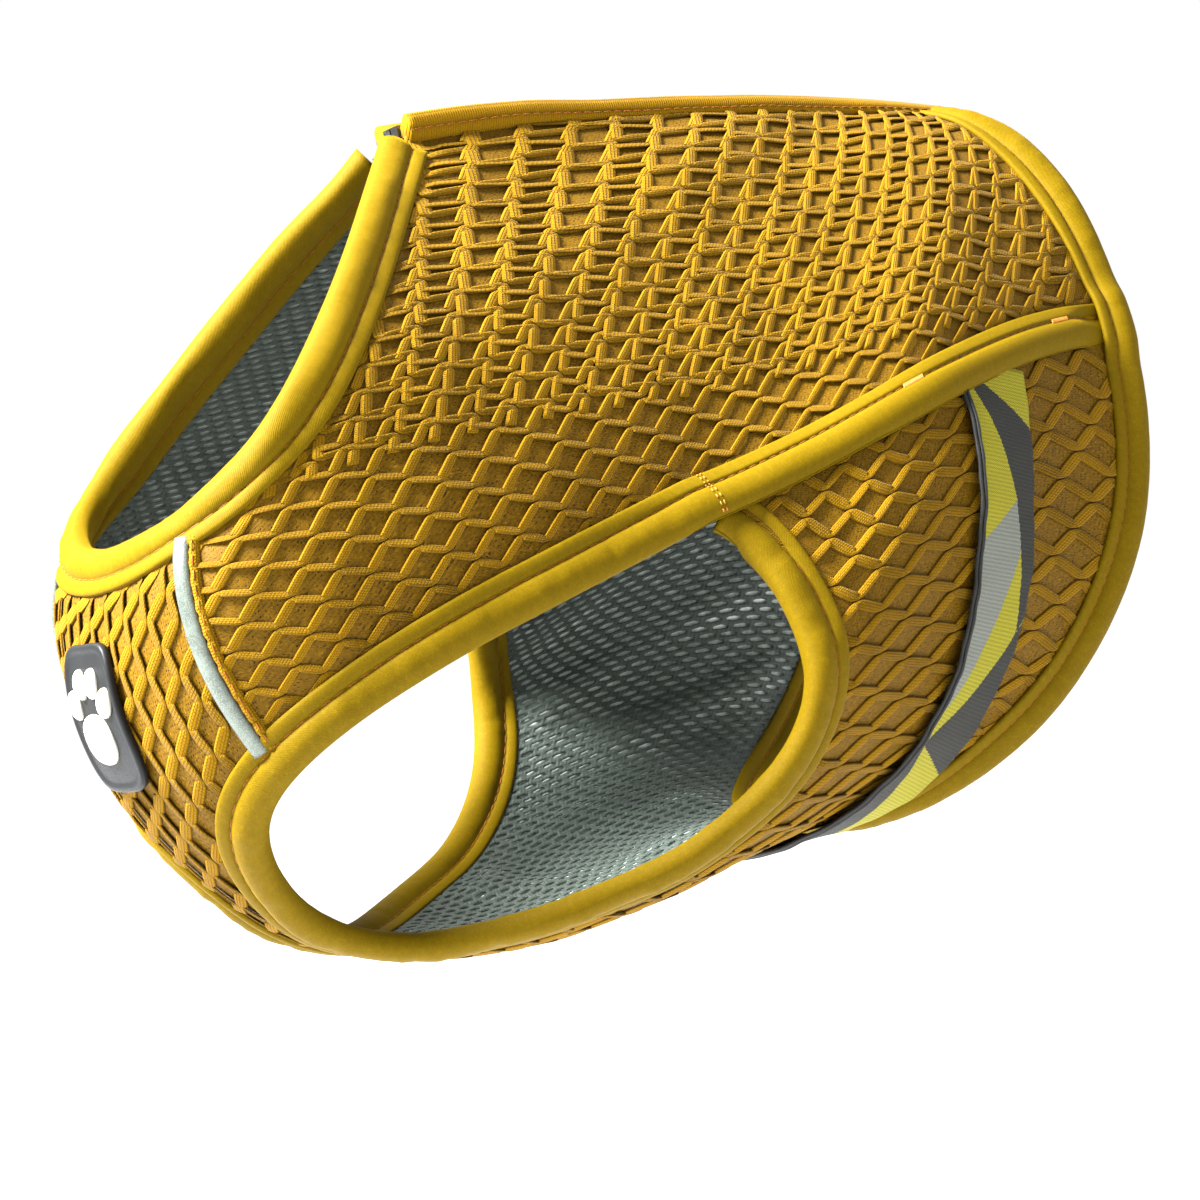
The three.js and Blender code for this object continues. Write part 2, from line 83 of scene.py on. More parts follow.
# ---------------------------------------------------------------- the skin
def spline(values, t):
    """Clamped uniform cubic B-spline through a list of numbers (de Boor)."""
    values = np.asarray(values, float)
    t = np.asarray(t, float)
    spans = len(values) - 3
    span = np.clip(np.floor(t * spans).astype(int), 0, spans - 1) + 3
    d = [values[span - 3 + i] for i in range(4)]
    for r in (1, 2, 3):
        for j in range(3, r - 1, -1):
            low = np.clip(span - 6 + j, 0, spans) / spans
            high = np.clip(span - 2 + j - r, 0, spans) / spans
            a = (t - low) / (high - low)
            d[j] = (1 - a) * d[j - 1] + a * d[j]
    return d[3]


def outline(points, t):
    return np.stack([spline([p[k] for p in points], t) for k in (0, 1)], -1)


def smooth(x, low=0.0, high=1.0):
    t = np.clip((np.asarray(x, float) - low) / (high - low), 0, 1)
    return t * t * (3 - 2 * t)


def pair(s, phi):
    """Two arrays as rows of two numbers: places are rows of s and phi."""
    return np.stack(np.broadcast_arrays(np.asarray(s, float), np.asarray(phi, float)), -1)


def half_turn(phi):
    """phi of either side, as the left side's."""
    return np.where(phi > PI, RING - phi, phi)


def bare(places):
    """The skin's points, without slack."""
    s, phi = places[..., 0], places[..., 1]
    top_x = spline(SPINE_X, s)
    top_z = SPINE_TOP - SPINE_RADIUS + np.sqrt(SPINE_RADIUS**2 - (top_x - SPINE_MIDDLE_X) ** 2)
    k = (1 + np.cos(phi)) / 2
    egg = EGG_NECK + (EGG_HEM - EGG_NECK) * s
    x = spline(KEEL_X, s) * (1 - k) + top_x * k
    y = -spline(HALF_WIDTH, s) * np.sin(phi) * (1 + egg * np.cos(phi))
    z = spline(KEEL_Z, s) * (1 - k) + top_z * k
    drawn = TAPER * smooth(s, TAPER_START, 1) * (np.hypot(y, TAPER_SOFT) - TAPER_SOFT)
    share = drawn / (TAPER_FROM[1] - np.abs(y))
    return np.stack(
        [x + share * (x - TAPER_FROM[0]), y - np.sign(y) * drawn, z + share * (z - TAPER_FROM[2])], -1
    )


def unit(v):
    return v / np.maximum(np.linalg.norm(v, axis=-1, keepdims=True), 1e-12)


def tangents(places):
    s, phi = places[..., 0], places[..., 1]
    e = 1e-3
    low = np.clip(s - e, 0, 1 - e)
    high = np.clip(s + e, e, 1)
    along_s = (bare(pair(high, phi)) - bare(pair(low, phi))) / (high - low)[..., None]
    along_phi = (bare(places + (0, e)) - bare(places - (0, e))) / (2 * e)
    return along_s, along_phi


def ripple(places):
    """The cloth's slack over the body: soft waves, none beside the zip."""
    s, around = places[..., 0], half_turn(places[..., 1])
    waves = (
        0.5 * np.sin(17 * s + 2.1 * around + 0.4)
        + 0.42 * np.sin(9 * s - 5.3 * around + 1.9)
        + 0.3 * np.sin(27 * s + 7.0 * around)
        + 0.16 * np.sin(49 * s - 13.0 * around + 2.2)
    )
    return waves * smooth(around, 0.08, 0.45)


def skin(places, out):
    """Points over the skin, out millimetres above the cloth's middle."""
    along_s, along_phi = tangents(places)
    normal = unit(np.cross(along_phi, along_s))
    return bare(places) + normal * (np.asarray(out, float) + ripple(places))[..., None]


def shift(places, direction, distance):
    """Moves places, rows of s and phi, by millimetres measured on the skin."""
    steps = max(math.ceil(abs(distance) / 2), 1)
    move = unit(direction) * (distance / steps)
    for _ in range(steps):
        a, b = tangents(places)
        aa, ab, bb = (a * a).sum(-1), (a * b).sum(-1), (b * b).sum(-1)
        ma, mb = (move * a).sum(-1), (move * b).sum(-1)
        det = aa * bb - ab * ab
        places = places + np.stack([ma * bb - mb * ab, mb * aa - ma * ab], -1) / det[..., None]
    return places


def sideways(places, travel, side):
    return np.cross(np.cross(*tangents(places)), travel) * side


def beside(curve, distance, side=1):
    """The curve at a distance on the skin: right of its travel seen from outside, or left with side -1."""

    def moved(t):
        t = np.asarray(t, float)
        travel = bare(curve(np.minimum(t + 2e-3, 1))) - bare(curve(np.maximum(t - 2e-3, 0)))
        places = curve(t)
        return shift(places, sideways(places, travel, side), distance)

    return moved


def edge_at(s, start, end):
    """The neck edge (s 0) or the rear hem (s 1), from one phi to another."""
    return lambda t: pair(s, start + (end - start) * np.asarray(t))


def leg_hole(t):
    return outline(LEG_HOLE, t)


def flank(t):
    return outline(FLANK, t)


def part(curve, start, end):
    return lambda t: curve(start + (end - start) * np.asarray(t))


def mirrored(curve):
    return lambda t: curve(t) * (1, -1) + (0, RING)


def joined(first, second, share):
    def both(t):
        t = np.asarray(t, float)
        early = first(np.clip(t / share, 0, 1))
        late = second(np.clip((t - share) / (1 - share), 0, 1))
        return np.where((t < share)[..., None], early, late)

    return both


def line(a, b):
    return lambda t: np.asarray(a) + (np.asarray(b) - np.asarray(a)) * np.asarray(t)[..., None]


def crossing(curve, test, start, end):
    """The share of a curve at which a test turns true."""
    low, high = start, end
    for _ in range(30):
        middle = (low + high) / 2
        if test(curve(np.array(middle))):
            high = middle
        else:
            low = middle
    return high


def zip_edge(s, gap=0.0):
    """phi of the line at the zip tape's edge, or a gap further from the spine."""
    egg = EGG_NECK + (EGG_HEM - EGG_NECK) * s
    return (ZIP_HALF + gap) / (spline(HALF_WIDTH, s) * (1 + egg))


def along_zip(first, last, gap):
    def curve(t):
        s = first + (last - first) * np.asarray(t, float)
        return pair(s, zip_edge(s, gap))

    return curve


def spaced(curve, step, samples=3000):
    """Places on a curve at even lengths of about step."""
    t = np.linspace(0, 1, samples)
    places = curve(t)
    points = bare(places)
    length = np.concatenate([[0], np.cumsum(np.linalg.norm(np.diff(points, axis=0), axis=1))])
    count = max(int(round(length[-1] / step)), 2)
    at = np.linspace(0, length[-1], count + 1)
    return np.stack([np.interp(at, length, places[:, k]) for k in (0, 1)], -1), at


# ---------------------------------------------------------------- panel outlines
REACH = 6.0  # a panel runs this near to a bound edge, under its binding
FLANK_REACH = 5.0
PIPING_TUCK = 3.0  # the piping runs so far under the bindings
PIPING_GAP = 1.2  # from the piping's middle to the panels' edges
MESH_TO_ZIP = -1.3  # the back mesh reaches over the tape's edge
neck_half, hem_half = edge_at(0, 0, PI), edge_at(1, 0, PI)
neck_inner = beside(neck_half, REACH, -1)
hem_inner = beside(hem_half, REACH)
leg_outer = beside(leg_hole, REACH)
flank_upper = beside(flank, FLANK_REACH, -1)
piping_top = beside(neck_half, BINDING_WIDTH - PIPING_TUCK, -1)(np.array(PIPING_PHI / PI))
piping_bottom = beside(leg_hole, BINDING_WIDTH - PIPING_TUCK)(np.array(PIPING_END))
piping = line(piping_top, piping_bottom)
piping_past = (piping_bottom - piping_top) * 0.1
piping_long = line(piping_top - piping_past, piping_bottom + piping_past)


def s_of(curve):
    """s of a curve round the torso, as a function of phi."""
    places = curve(np.linspace(0, 1, 600))
    return lambda phi: np.interp(half_turn(phi), places[:, 1], places[:, 0])


neck_s, hem_s = s_of(neck_inner), s_of(hem_inner)


def beside_piping(side, gap):
    whole = beside(piping_long, gap, side)
    start = crossing(whole, lambda p: p[0] > neck_s(p[1]), 0, 0.5)
    return part(whole, start, 0.97)


def row_at(s_at, start, end):
    def row(t):
        phi = start + (end - start) * np.asarray(t, float)
        return pair(s_at(phi), phi)

    return row


def flank_phi(s):
    return float(flank(np.array(crossing(flank, lambda p: p[0] > s, 0, 1)))[1])


def back_panel():
    behind = beside_piping(-1, PIPING_GAP)
    top, bottom = behind(np.array(0.0)), behind(np.array(1.0))
    first, last = float(neck_s(zip_edge(0.0))), float(hem_s(zip_edge(1.0)))
    hem_share = crossing(flank_upper, lambda p: p[0] > hem_s(p[1]), 0.5, 1)
    hem_end = flank_upper(np.array(hem_share))
    near = joined(row_at(neck_s, zip_edge(first, MESH_TO_ZIP), top[1]), behind, 0.7)
    leg_top = crossing(leg_outer, lambda p: p[1] > bottom[1], 0, 0.5)
    leg = lambda t: leg_outer(leg_top * (1 - np.asarray(t)))
    lower = joined(leg, part(flank_upper, 0.02, hem_share), 0.55)
    far = row_at(hem_s, zip_edge(last, MESH_TO_ZIP), hem_end[1])
    return near, far, along_zip(first, last, MESH_TO_ZIP), lower


def chest_panel():
    before = beside_piping(1, PIPING_GAP)
    top, bottom = before(np.array(0.0)), before(np.array(1.0))
    start = crossing(leg_outer, lambda p: p[1] > bottom[1], 0.2, 0.5)
    side = joined(before, part(leg_outer, start, BRIDGE_SEAM), 0.4)
    end = side(np.array(1.0))
    return row_at(neck_s, top[1], RING - top[1]), line(end, (end[0], RING - end[1])), side, mirrored(side)


def belly_panel():
    corner = crossing(leg_outer, lambda p: p[1] < flank_phi(p[0]) + 0.01, 0.85, 1)
    front = part(leg_outer, corner, BRIDGE_SEAM)
    end = front(np.array(1.0))
    upper = beside(flank, FLANK_REACH + 2, -1)
    start = crossing(upper, lambda p: p[0] > front(np.array(0.0))[0], 0, 1)
    side = part(upper, start, crossing(upper, lambda p: p[0] > hem_s(p[1]), 0.5, 1))
    rise = line(side(np.array(0.0)), front(np.array(0.0)))
    half = joined(joined(rise, front, 0.07), line(end, (end[0], RING - end[1])), 0.9)

    def near(t):
        t = np.asarray(t, float)
        left, right = half(np.clip(t * 1.9, 0, 1)), mirrored(half)(np.clip((1 - t) * 1.9, 0, 1))
        return np.where((t <= 0.5)[..., None], left, right)

    first = float(side(np.array(1.0))[1])
    return near, row_at(hem_s, first, RING - first), side, mirrored(side)


def patch(borders, along, across):
    """Places between four border curves (a Coons patch): near and far run across, left and right along."""
    near, far, left, right = borders
    u = np.linspace(0, 1, along + 1)[:, None, None]
    v = np.linspace(0, 1, across + 1)[None, :, None]
    n, f = near(v[0, :, 0])[None], far(v[0, :, 0])[None]
    a, b = left(u[:, 0, 0])[:, None], right(u[:, 0, 0])[:, None]
    corners = (1 - u) * ((1 - v) * n[:, :1] + v * n[:, -1:]) + u * ((1 - v) * f[:, :1] + v * f[:, -1:])
    return (1 - u) * n + u * f + (1 - v) * a + v * b - corners


BORDER_STEPS = 160


def loop_of(borders):
    near, far, left, right = borders
    t = np.linspace(0, 1, BORDER_STEPS)
    return np.concatenate([near(t), right(t), far(t)[::-1], left(t)[::-1]])


def inside(places, borders):
    """Even-odd test of places against a panel's outline."""
    loop = loop_of(borders)
    x, y = places[..., 0], places[..., 1]
    result = np.zeros(x.shape, bool)
    for (x0, y0), (x1, y1) in zip(loop, np.roll(loop, -1, axis=0)):
        if y0 == y1:
            continue
        result ^= ((y0 > y) != (y1 > y)) & (x < (x1 - x0) * (y - y0) / (y1 - y0) + x0)
    return result


def hides(*spans):
    """What a binding hides along one border, from spans of (share of the border, millimetres)."""
    return np.concatenate([np.full(round(share * BORDER_STEPS), width) for share, width in spans])


def clearance(places, borders, widths):
    """Millimetres from each place to the panel's outline, less what the binding there hides. The widths are those
    for near, right, far and left."""
    points = bare(places).reshape(-1, 3)
    border = bare(loop_of(borders))
    hidden = np.concatenate([np.broadcast_to(np.asarray(w, float), BORDER_STEPS) for w in widths])
    best = np.full(len(points), 1e9)
    for i in range(0, len(points), 4000):
        gap = np.linalg.norm(points[i : i + 4000, None] - border[None], axis=-1) - hidden[None]
        best[i : i + 4000] = gap.min(axis=1)
    return best.reshape(places.shape[:-1])


class Cloth:
    """Flat millimetres (along, around) on the skin: along is s times 200, around is measured from the spine or
    from the keel, where the dog's left is positive."""

    LENGTH = 200.0
    HINGE = 100.0  # this far around, the lattice isn't leaned along
    PHI_STEPS = 400

    def __init__(self, keel, lean=(0.0, 0.0)):
        self.keel, self.lean = keel, lean
        self.s = np.linspace(-0.02, 1.02, 105)
        phi = np.linspace(0, PI, self.PHI_STEPS + 1)
        if keel:
            phi = phi[::-1]
        steps = np.linalg.norm(np.diff(bare(pair(self.s[:, None], phi[None])), axis=1), axis=-1)
        self.arc = np.concatenate([np.zeros((len(self.s), 1)), np.cumsum(steps, 1)], 1)
        self.around = np.arange(0, self.arc.max() + 40, 1.0)
        past = (phi[1] - phi[0]) / (self.arc[:, 1] - self.arc[:, 0])
        over = np.maximum(self.around[None] - self.arc[:, -1:], 0)
        self.table = np.stack([np.interp(self.around, row, phi) for row in self.arc]) + over * past[:, None]

    def place(self, flat):
        along, around = flat[..., 0], flat[..., 1]
        away = np.abs(around)
        along = along + (self.lean[0] + self.lean[1] * along) * (away - self.HINGE)
        s = np.clip(along / self.LENGTH, -0.04, 1.04)
        x = np.clip((s - self.s[0]) / (self.s[1] - self.s[0]), 0, len(self.s) - 1.001)
        y = np.clip(away, 0, len(self.around) - 1.001)
        i, j = x.astype(int), y.astype(int)
        x, y = x - i, y - j
        t = self.table
        near = t[i, j] * (1 - y) + t[i, j + 1] * y
        far = t[i + 1, j] * (1 - y) + t[i + 1, j + 1] * y
        phi = near * (1 - x) + far * x
        if self.keel:
            phi = np.where(around < 0, RING - phi, phi)
        return pair(s, phi)

    def flat(self, places):
        """The reverse, near enough for a weave, as rows."""
        s, phi = places[..., 0], places[..., 1]
        i = np.clip(np.round((s - self.s[0]) / (self.s[1] - self.s[0])).astype(int), 0, len(self.s) - 1)
        half = half_turn(phi)
        j = np.clip((PI - half if self.keel else half) / PI * self.PHI_STEPS, 0, self.PHI_STEPS - 0.001)
        k = j.astype(int)
        away = self.arc[i, k] * (1 - j + k) + self.arc[i, k + 1] * (j - k)
        return pair(s * self.LENGTH, np.where(phi > PI, -away, away)).reshape(-1, 2)


# ---------------------------------------------------------------- mesh making
def make(name, points, faces, material, uv=None, tone=None, slot=None, replaces=(), mirror=False):
    """An object from points in millimetres and faces (arrays of rows of vertex numbers)."""
    used = np.unique(np.concatenate([np.asarray(f).ravel() for f in faces]))
    number = np.zeros(len(points), int)
    number[used] = np.arange(len(used))
    points = points[used] * (1, -1 if mirror else 1, 1)
    faces = [number[np.asarray(f)] for f in faces]
    if mirror:
        faces = [f[:, ::-1] for f in faces]
    volume = 0.0
    for f in faces:
        for k in range(1, f.shape[1] - 1):
            a, b, c = points[f[:, 0]], points[f[:, k]], points[f[:, k + 1]]
            volume += (a * np.cross(b, c)).sum()
    if volume < 0:
        faces = [f[:, ::-1] for f in faces]
    loops = np.concatenate([f.ravel() for f in faces]).astype(np.int32)
    sizes = np.concatenate([np.full(len(f), f.shape[1]) for f in faces])
    mesh = bpy.data.meshes.new(name)
    mesh.vertices.add(len(points))
    mesh.vertices.foreach_set("co", (points * MM).astype(np.float32).ravel())
    mesh.loops.add(len(loops))
    mesh.loops.foreach_set("vertex_index", loops)
    mesh.polygons.add(len(sizes))
    mesh.polygons.foreach_set("loop_start", np.concatenate([[0], np.cumsum(sizes)[:-1]]).astype(np.int32))
    mesh.update(calc_edges=True)
    mesh.polygons.foreach_set("use_smooth", np.ones(len(sizes), bool))
    for title, values in (("weave", uv), ("tone", tone)):
        if values is not None:
            layer = mesh.uv_layers.new(name=title)
            layer.data.foreach_set("uv", (values[used][loops] * 0.1).astype(np.float32).ravel())
    mesh.materials.append(material)
    obj = bpy.data.objects.new(name, mesh)
    bpy.context.scene.collection.objects.link(obj)
    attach(obj, "vest")
    if replaces:
        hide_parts(*replaces)
    return obj


def both(name, points, faces, material, replaces=(), **more):
    """The piece on the dog's left and its mirror image on the right."""
    return [
        make(name + side, points, faces, material, replaces=[n + side for n in replaces], mirror=mirror, **more)
        for side, mirror in (("_left", False), ("_right", True))
    ]


def one(*given, **more):
    return [make(*given, **more)]


def grid_faces(rows, columns, wrap=False):
    i = np.arange(rows - 1)[:, None] * columns
    j = np.arange(columns if wrap else columns - 1)[None]
    k = (j + 1) % columns
    return np.stack([i + j, i + k, i + columns + k, i + columns + j], -1).reshape(-1, 4)


def thicken(top, bottom, faces):
    """A closed sheet: the faces over top, reversed over bottom, and walls on every border."""
    n = len(top)
    size = faces.shape[1]
    edges = np.concatenate([faces[:, [k, (k + 1) % size]] for k in range(size)])
    key = np.sort(edges, axis=1)
    _, first, count = np.unique(key, axis=0, return_index=True, return_counts=True)
    rim = edges[first[count == 1]]
    walls = np.stack([rim[:, 1], rim[:, 0], rim[:, 0] + n, rim[:, 1] + n], -1)
    return np.concatenate([top, bottom]), [faces, faces[:, ::-1] + n, walls]


def area_of(points, faces):
    a, b, c, d = (points[faces[:, k]] for k in range(4))
    halves = (np.cross(b - a, c - a), np.cross(c - a, d - a))
    return sum(np.linalg.norm(half, axis=1) for half in halves).sum() / 2


def declare(obj, area):
    """For a sheet whose cut isn't a rectangle: works out its frame, the rectangle round it, and a length from the
    cut's area, but keeps neither.
    """
    size = [max(v) - min(v) for v in zip(*[c[:] for c in obj.bound_box])]
    long = max(sorted(size)[2], math.sqrt(area) * MM)


def sweep(rings):
    """Faces over rings[i][k], closed profiles along a line, with flat ends."""
    count, size = rings.shape[:2]
    end = np.arange(size)[None]
    return rings.reshape(-1, 3), [grid_faces(count, size, wrap=True), end[:, ::-1], end + (count - 1) * size]


def circles(across, up, sides):
    """Unit circles in the plane of two vectors, as [place][turn]."""
    turn = (np.arange(sides) * RING / sides)[:, None]
    return across[:, None] * np.cos(turn) + up[:, None] * np.sin(turn)


def threads(starts, ends, normals, radius, sides=6, lift=0.35):
    """Small tapered tubes, one for each pair of ends: stitches, coils."""
    share = np.array([0, 0.08, 0.3, 0.7, 0.92, 1])
    thick = np.array([0.35, 0.85, 1, 1, 0.85, 0.35])
    travel = unit(ends - starts)
    side = unit(np.cross(travel, normals))
    up = np.cross(side, travel)
    centre = starts[:, None] + (ends - starts)[:, None] * share[None, :, None]
    centre = centre + up[:, None] * (np.sin(share * PI) * lift * radius)[None, :, None]
    rings = centre[:, :, None] + circles(side, up, sides)[:, None] * (thick * radius)[None, :, None, None]
    n, rows = len(starts), len(share)
    first = (np.arange(n) * rows * sides)[:, None, None]
    quads = (grid_faces(rows, sides, wrap=True)[None] + first).reshape(-1, 4)
    caps = np.arange(sides)[None] + np.arange(n)[:, None] * rows * sides
    return rings.reshape(-1, 3), [quads, caps[:, ::-1], caps + (rows - 1) * sides]


# ---------------------------------------------------------------- materials
def srgb(r, g, b):
    """A colour as seen, in 0 to 255, as linear light."""
    linear = (c / 255 / 12.92 if c <= 10 else ((c / 255 + 0.055) / 1.055) ** 2.4 for c in (r, g, b))
    return tuple(linear) + (1.0,)


class Paint:
    """A material's node tree, built from the shader's sockets back."""

    def __init__(self, name, roughness, specular=0.3, metallic=0.0, sheen=0.0, sheen_roughness=0.4):
        self.material = bpy.data.materials.new(name)
        self.material.use_nodes = True
        self.tree = self.material.node_tree
        self.shader = next(n for n in self.tree.nodes if n.type == "BSDF_PRINCIPLED")
        for socket, value in (
            ("Roughness", roughness),
            ("Specular IOR Level", specular),
            ("Metallic", metallic),
            ("Sheen Weight", sheen),
            ("Sheen Roughness", sheen_roughness),
        ):
            self.shader.inputs[socket].default_value = value

    def put(self, socket, value):
        """Sets a socket to a value or links it to another socket."""
        if isinstance(value, bpy.types.NodeSocket):
            self.tree.links.new(value, socket)
        else:
            socket.default_value = value

    def node(self, kind, **inputs):
        """A shader node with its inputs by name, or by number as i0, i1."""
        n = self.tree.nodes.new("ShaderNode" + kind)
        for name, value in inputs.items():
            numbered = name[0] == "i" and name[1:].isdigit()
            self.put(n.inputs[int(name[1:]) if numbered else name.replace("_", " ")], value)
        return n

    def math(self, operation, a, b=0.0, c=0.0):
        n = self.node("Math", i0=a, i1=b, i2=c)
        n.operation = operation
        return n.outputs[0]

    def times(self, a, b):
        return self.math("MULTIPLY", a, b)

    def plus(self, a, b):
        return self.math("ADD", a, b)

    def sine(self, a):
        return self.math("SINE", a)

    def scaled(self, vector, factor):
        n = self.node("VectorMath", i0=vector, i1=self.join(factor, factor, factor))
        n.operation = "MULTIPLY"
        return n.outputs[0]

    def layer(self, title):
        """The first number of a UV layer, and the second; make stores both as tenths."""
        n = self.tree.nodes.new("ShaderNodeUVMap")
        n.uv_map = title
        xyz = self.node("SeparateXYZ", Vector=n.outputs[0])
        return self.times(xyz.outputs[0], 10.0), self.times(xyz.outputs[1], 10.0)

    def weave(self):
        """The cloth's own millimetres."""
        return self.layer("weave")

    def space(self):
        """The place in the object, in millimetres."""
        n = self.tree.nodes.new("ShaderNodeTexCoord")
        return self.scaled(n.outputs["Object"], 1000.0)

    def join(self, x, y, z=0.0):
        return self.node("CombineXYZ", X=x, Y=y, Z=z).outputs[0]

    def noise(self, vector, size, detail=2.0, rough=0.5):
        n = self.node("TexNoise", Vector=vector, Scale=1.0 / size, Detail=detail, Roughness=rough)
        return n.outputs["Fac"]

    def ramp(self, value, low, high, to_low=0.0, to_high=1.0):
        n = self.node("MapRange", Value=value, From_Min=low, From_Max=high, To_Min=to_low, To_Max=to_high)
        n.clamp = True
        return n.outputs[0]

    def mix(self, share, a, b):
        n = self.tree.nodes.new("ShaderNodeMix")
        n.data_type = "RGBA"
        for number, value in ((0, share), (6, a), (7, b)):
            self.put(n.inputs[number], value)
        return n.outputs[2]

    def finish(self, colour, height=None, strength=0.5, depth=0.0002, roughness=None):
        self.tree.links.new(colour, self.shader.inputs["Base Color"])
        if height is not None:
            bump = self.node("Bump", Strength=strength, Distance=depth, Height=height)
            self.tree.links.new(bump.outputs[0], self.shader.inputs["Normal"])
        if roughness is not None:
            self.tree.links.new(roughness, self.shader.inputs["Roughness"])
        return self.material


def tinted(colour, factor):
    return tuple(c * factor for c in colour[:3]) + (1.0,)


RIBBON = srgb(106, 77, 1)
BASE = srgb(98, 70, 2)
BINDING = srgb(98, 78, 0)
THREAD = srgb(122, 70, 12)


def knit_ribbon():
    p = Paint("ribbon_knit", roughness=0.72, specular=0.05, sheen=0.03)
    across, along = p.weave()
    inside_wale = p.math("ABSOLUTE", p.math("SUBTRACT", p.math("FRACT", p.times(across, 0.4)), 0.5))
    rib = p.ramp(inside_wale, 0.5, 0.22)
    loop = p.ramp(p.sine(p.times(p.plus(along, p.times(inside_wale, 0.55)), 8.4)), -1.0, 0.6)
    height = p.times(rib, p.plus(p.times(loop, 0.65), 0.35))
    cloud = p.noise(p.space(), 26, 3)
    glint_specks = p.noise(p.space(), 0.35, 2)
    # Painted shade and light: the knit's hollows are darkened and its loop crowns lightened.
    colour = p.mix(p.ramp(height, 0, 0.8), tinted(RIBBON, 0.38), tinted(RIBBON, 1.2))
    # Painted shade and light: the ribbons along step_b are darkened and those along step_a lightened, as light
    # falls on their lean.
    colour = p.scaled(colour, p.ramp(p.layer("tone")[0], 0.0, 1.0, 1.2, 0.66))
    colour = p.mix(p.ramp(cloud, 0.35, 0.7), colour, p.mix(0.5, colour, tinted(RIBBON, 1.25)))
    # Painted glints: fine specks lifted to a paler yellow, as light catching the yarn loops.
    colour = p.mix(p.ramp(glint_specks, 0.52, 0.75, 0, 0.4), colour, srgb(156, 116, 16))
    return p.finish(colour, height, 0.8, 0.00022)


def pin_mesh():
    p = Paint("pin_mesh", roughness=0.6, specular=0.08, sheen=0.02)
    x, y = p.weave()
    cells = p.node("TexVoronoi", Vector=p.join(x, p.times(y, 1.25)), Scale=1.15, Randomness=0.35)
    hole = p.ramp(cells.outputs["Distance"], 0.12, 0.3)
    grain = p.noise(p.join(p.times(x, 0.6), y), 0.4, 3, 0.7)
    cloud = p.noise(p.space(), 20, 2)
    colour = p.mix(p.ramp(grain, 0.35, 0.65), tinted(BASE, 0.5), tinted(BASE, 1.25))
    # Painted glints: the brightest grain is lifted to a pale sparkle colour.
    colour = p.mix(p.ramp(grain, 0.62, 0.72, 0, 0.75), colour, srgb(146, 120, 36))
    colour = p.mix(p.ramp(cloud, 0.35, 0.7, 0, 0.35), colour, tinted(BASE, 0.7))
    # Painted shade: the pin holes, which are not cut, are painted dark as the shade inside them.
    colour = p.mix(hole, srgb(38, 27, 6), colour)
    height = p.plus(p.times(hole, 0.6), p.times(grain, 0.4))
    return p.finish(colour, height, 0.7, 0.0003)


def velour(name, tint):
    p = Paint(name, roughness=0.62, specular=0.05, sheen=0.12, sheen_roughness=0.35)
    p.shader.inputs["Sheen Tint"].default_value = srgb(225, 180, 40)
    along, across = p.weave()
    nap = p.noise(p.join(p.times(along, 0.4), across), 0.32, 3, 0.65)
    brushed = p.noise(p.join(p.times(along, 0.5), p.times(across, 0.8)), 1.3, 4, 0.7)
    pucker = p.noise(p.join(along, p.times(across, 0.2)), 4.2, 2)
    twill = p.sine(p.times(p.plus(along, across), 12.0))
    colour = p.mix(p.ramp(nap, 0.3, 0.7), tinted(tint, 0.78), tinted(tint, 1.12))
    colour = p.mix(p.ramp(brushed, 0.38, 0.66, 0.55, 1.0), tinted(tint, 0.7), colour)
    colour = p.mix(p.ramp(brushed, 0.55, 0.75, 0, 0.22), colour, tinted(tint, 1.4))
    height = p.plus(p.times(nap, 0.5), p.times(twill, 0.12))
    height = p.plus(height, p.times(pucker, 1.1))
    return p.finish(colour, height, 0.45, 0.0003)


def yarn(name, tint, roughness=0.55, specular=0.2, size=0.25, light=1.3, strength=0.4, depth=0.0001):
    p = Paint(name, roughness=roughness, specular=specular)
    twist = p.noise(p.space(), size, 2)
    colour = p.mix(p.ramp(twist, 0.35, 0.65), tinted(tint, 0.6), tinted(tint, light))
    return p.finish(colour, twist, strength, depth)


def nylon(name, tint, roughness):
    return yarn(name, tint, roughness, specular=0.3, size=0.5, light=1.15, strength=0.35, depth=0.0002)


def air_mesh():
    p = Paint("air_mesh", roughness=0.5, specular=0.3, sheen=0.1)
    along, around = p.weave()
    course = p.sine(p.times(p.plus(around, p.times(along, 0.25)), 14.0))
    wale = p.sine(p.times(along, 9.0))
    yarn = p.plus(p.times(course, 0.5), p.times(wale, 0.3))
    cloud = p.noise(p.space(), 14, 3)
    fine = p.noise(p.space(), 0.4, 2)
    # Painted shade and light: the knit's hollows are darkened and its yarn ridges lightened.
    colour = p.mix(p.ramp(yarn, -0.6, 0.7), srgb(30, 36, 31), srgb(72, 82, 75))
    colour = p.mix(p.ramp(cloud, 0.3, 0.7, 0, 0.5), colour, srgb(46, 54, 46))
    colour = p.mix(p.ramp(fine, 0.55, 0.75, 0, 0.4), colour, srgb(122, 136, 128))
    return p.finish(colour, yarn, 0.6, 0.00018)


def film():
    p = Paint("pale_film", roughness=0.28, specular=0.6)
    crease = p.noise(p.space(), 2.2, 3, 0.6)
    x, y = p.weave()
    fibre = p.noise(p.join(x, p.times(y, 0.25)), 0.5, 2)
    # Painted shade and highlight: the crumpled film is darker in its creases and paler on their crowns.
    colour = p.mix(p.ramp(crease, 0.3, 0.7), srgb(150, 166, 156), srgb(222, 232, 226))
    height = p.plus(crease, p.times(fibre, 0.15))
    return p.finish(colour, height, 0.6, 0.0005, p.ramp(crease, 0.3, 0.7, 0.2, 0.42))


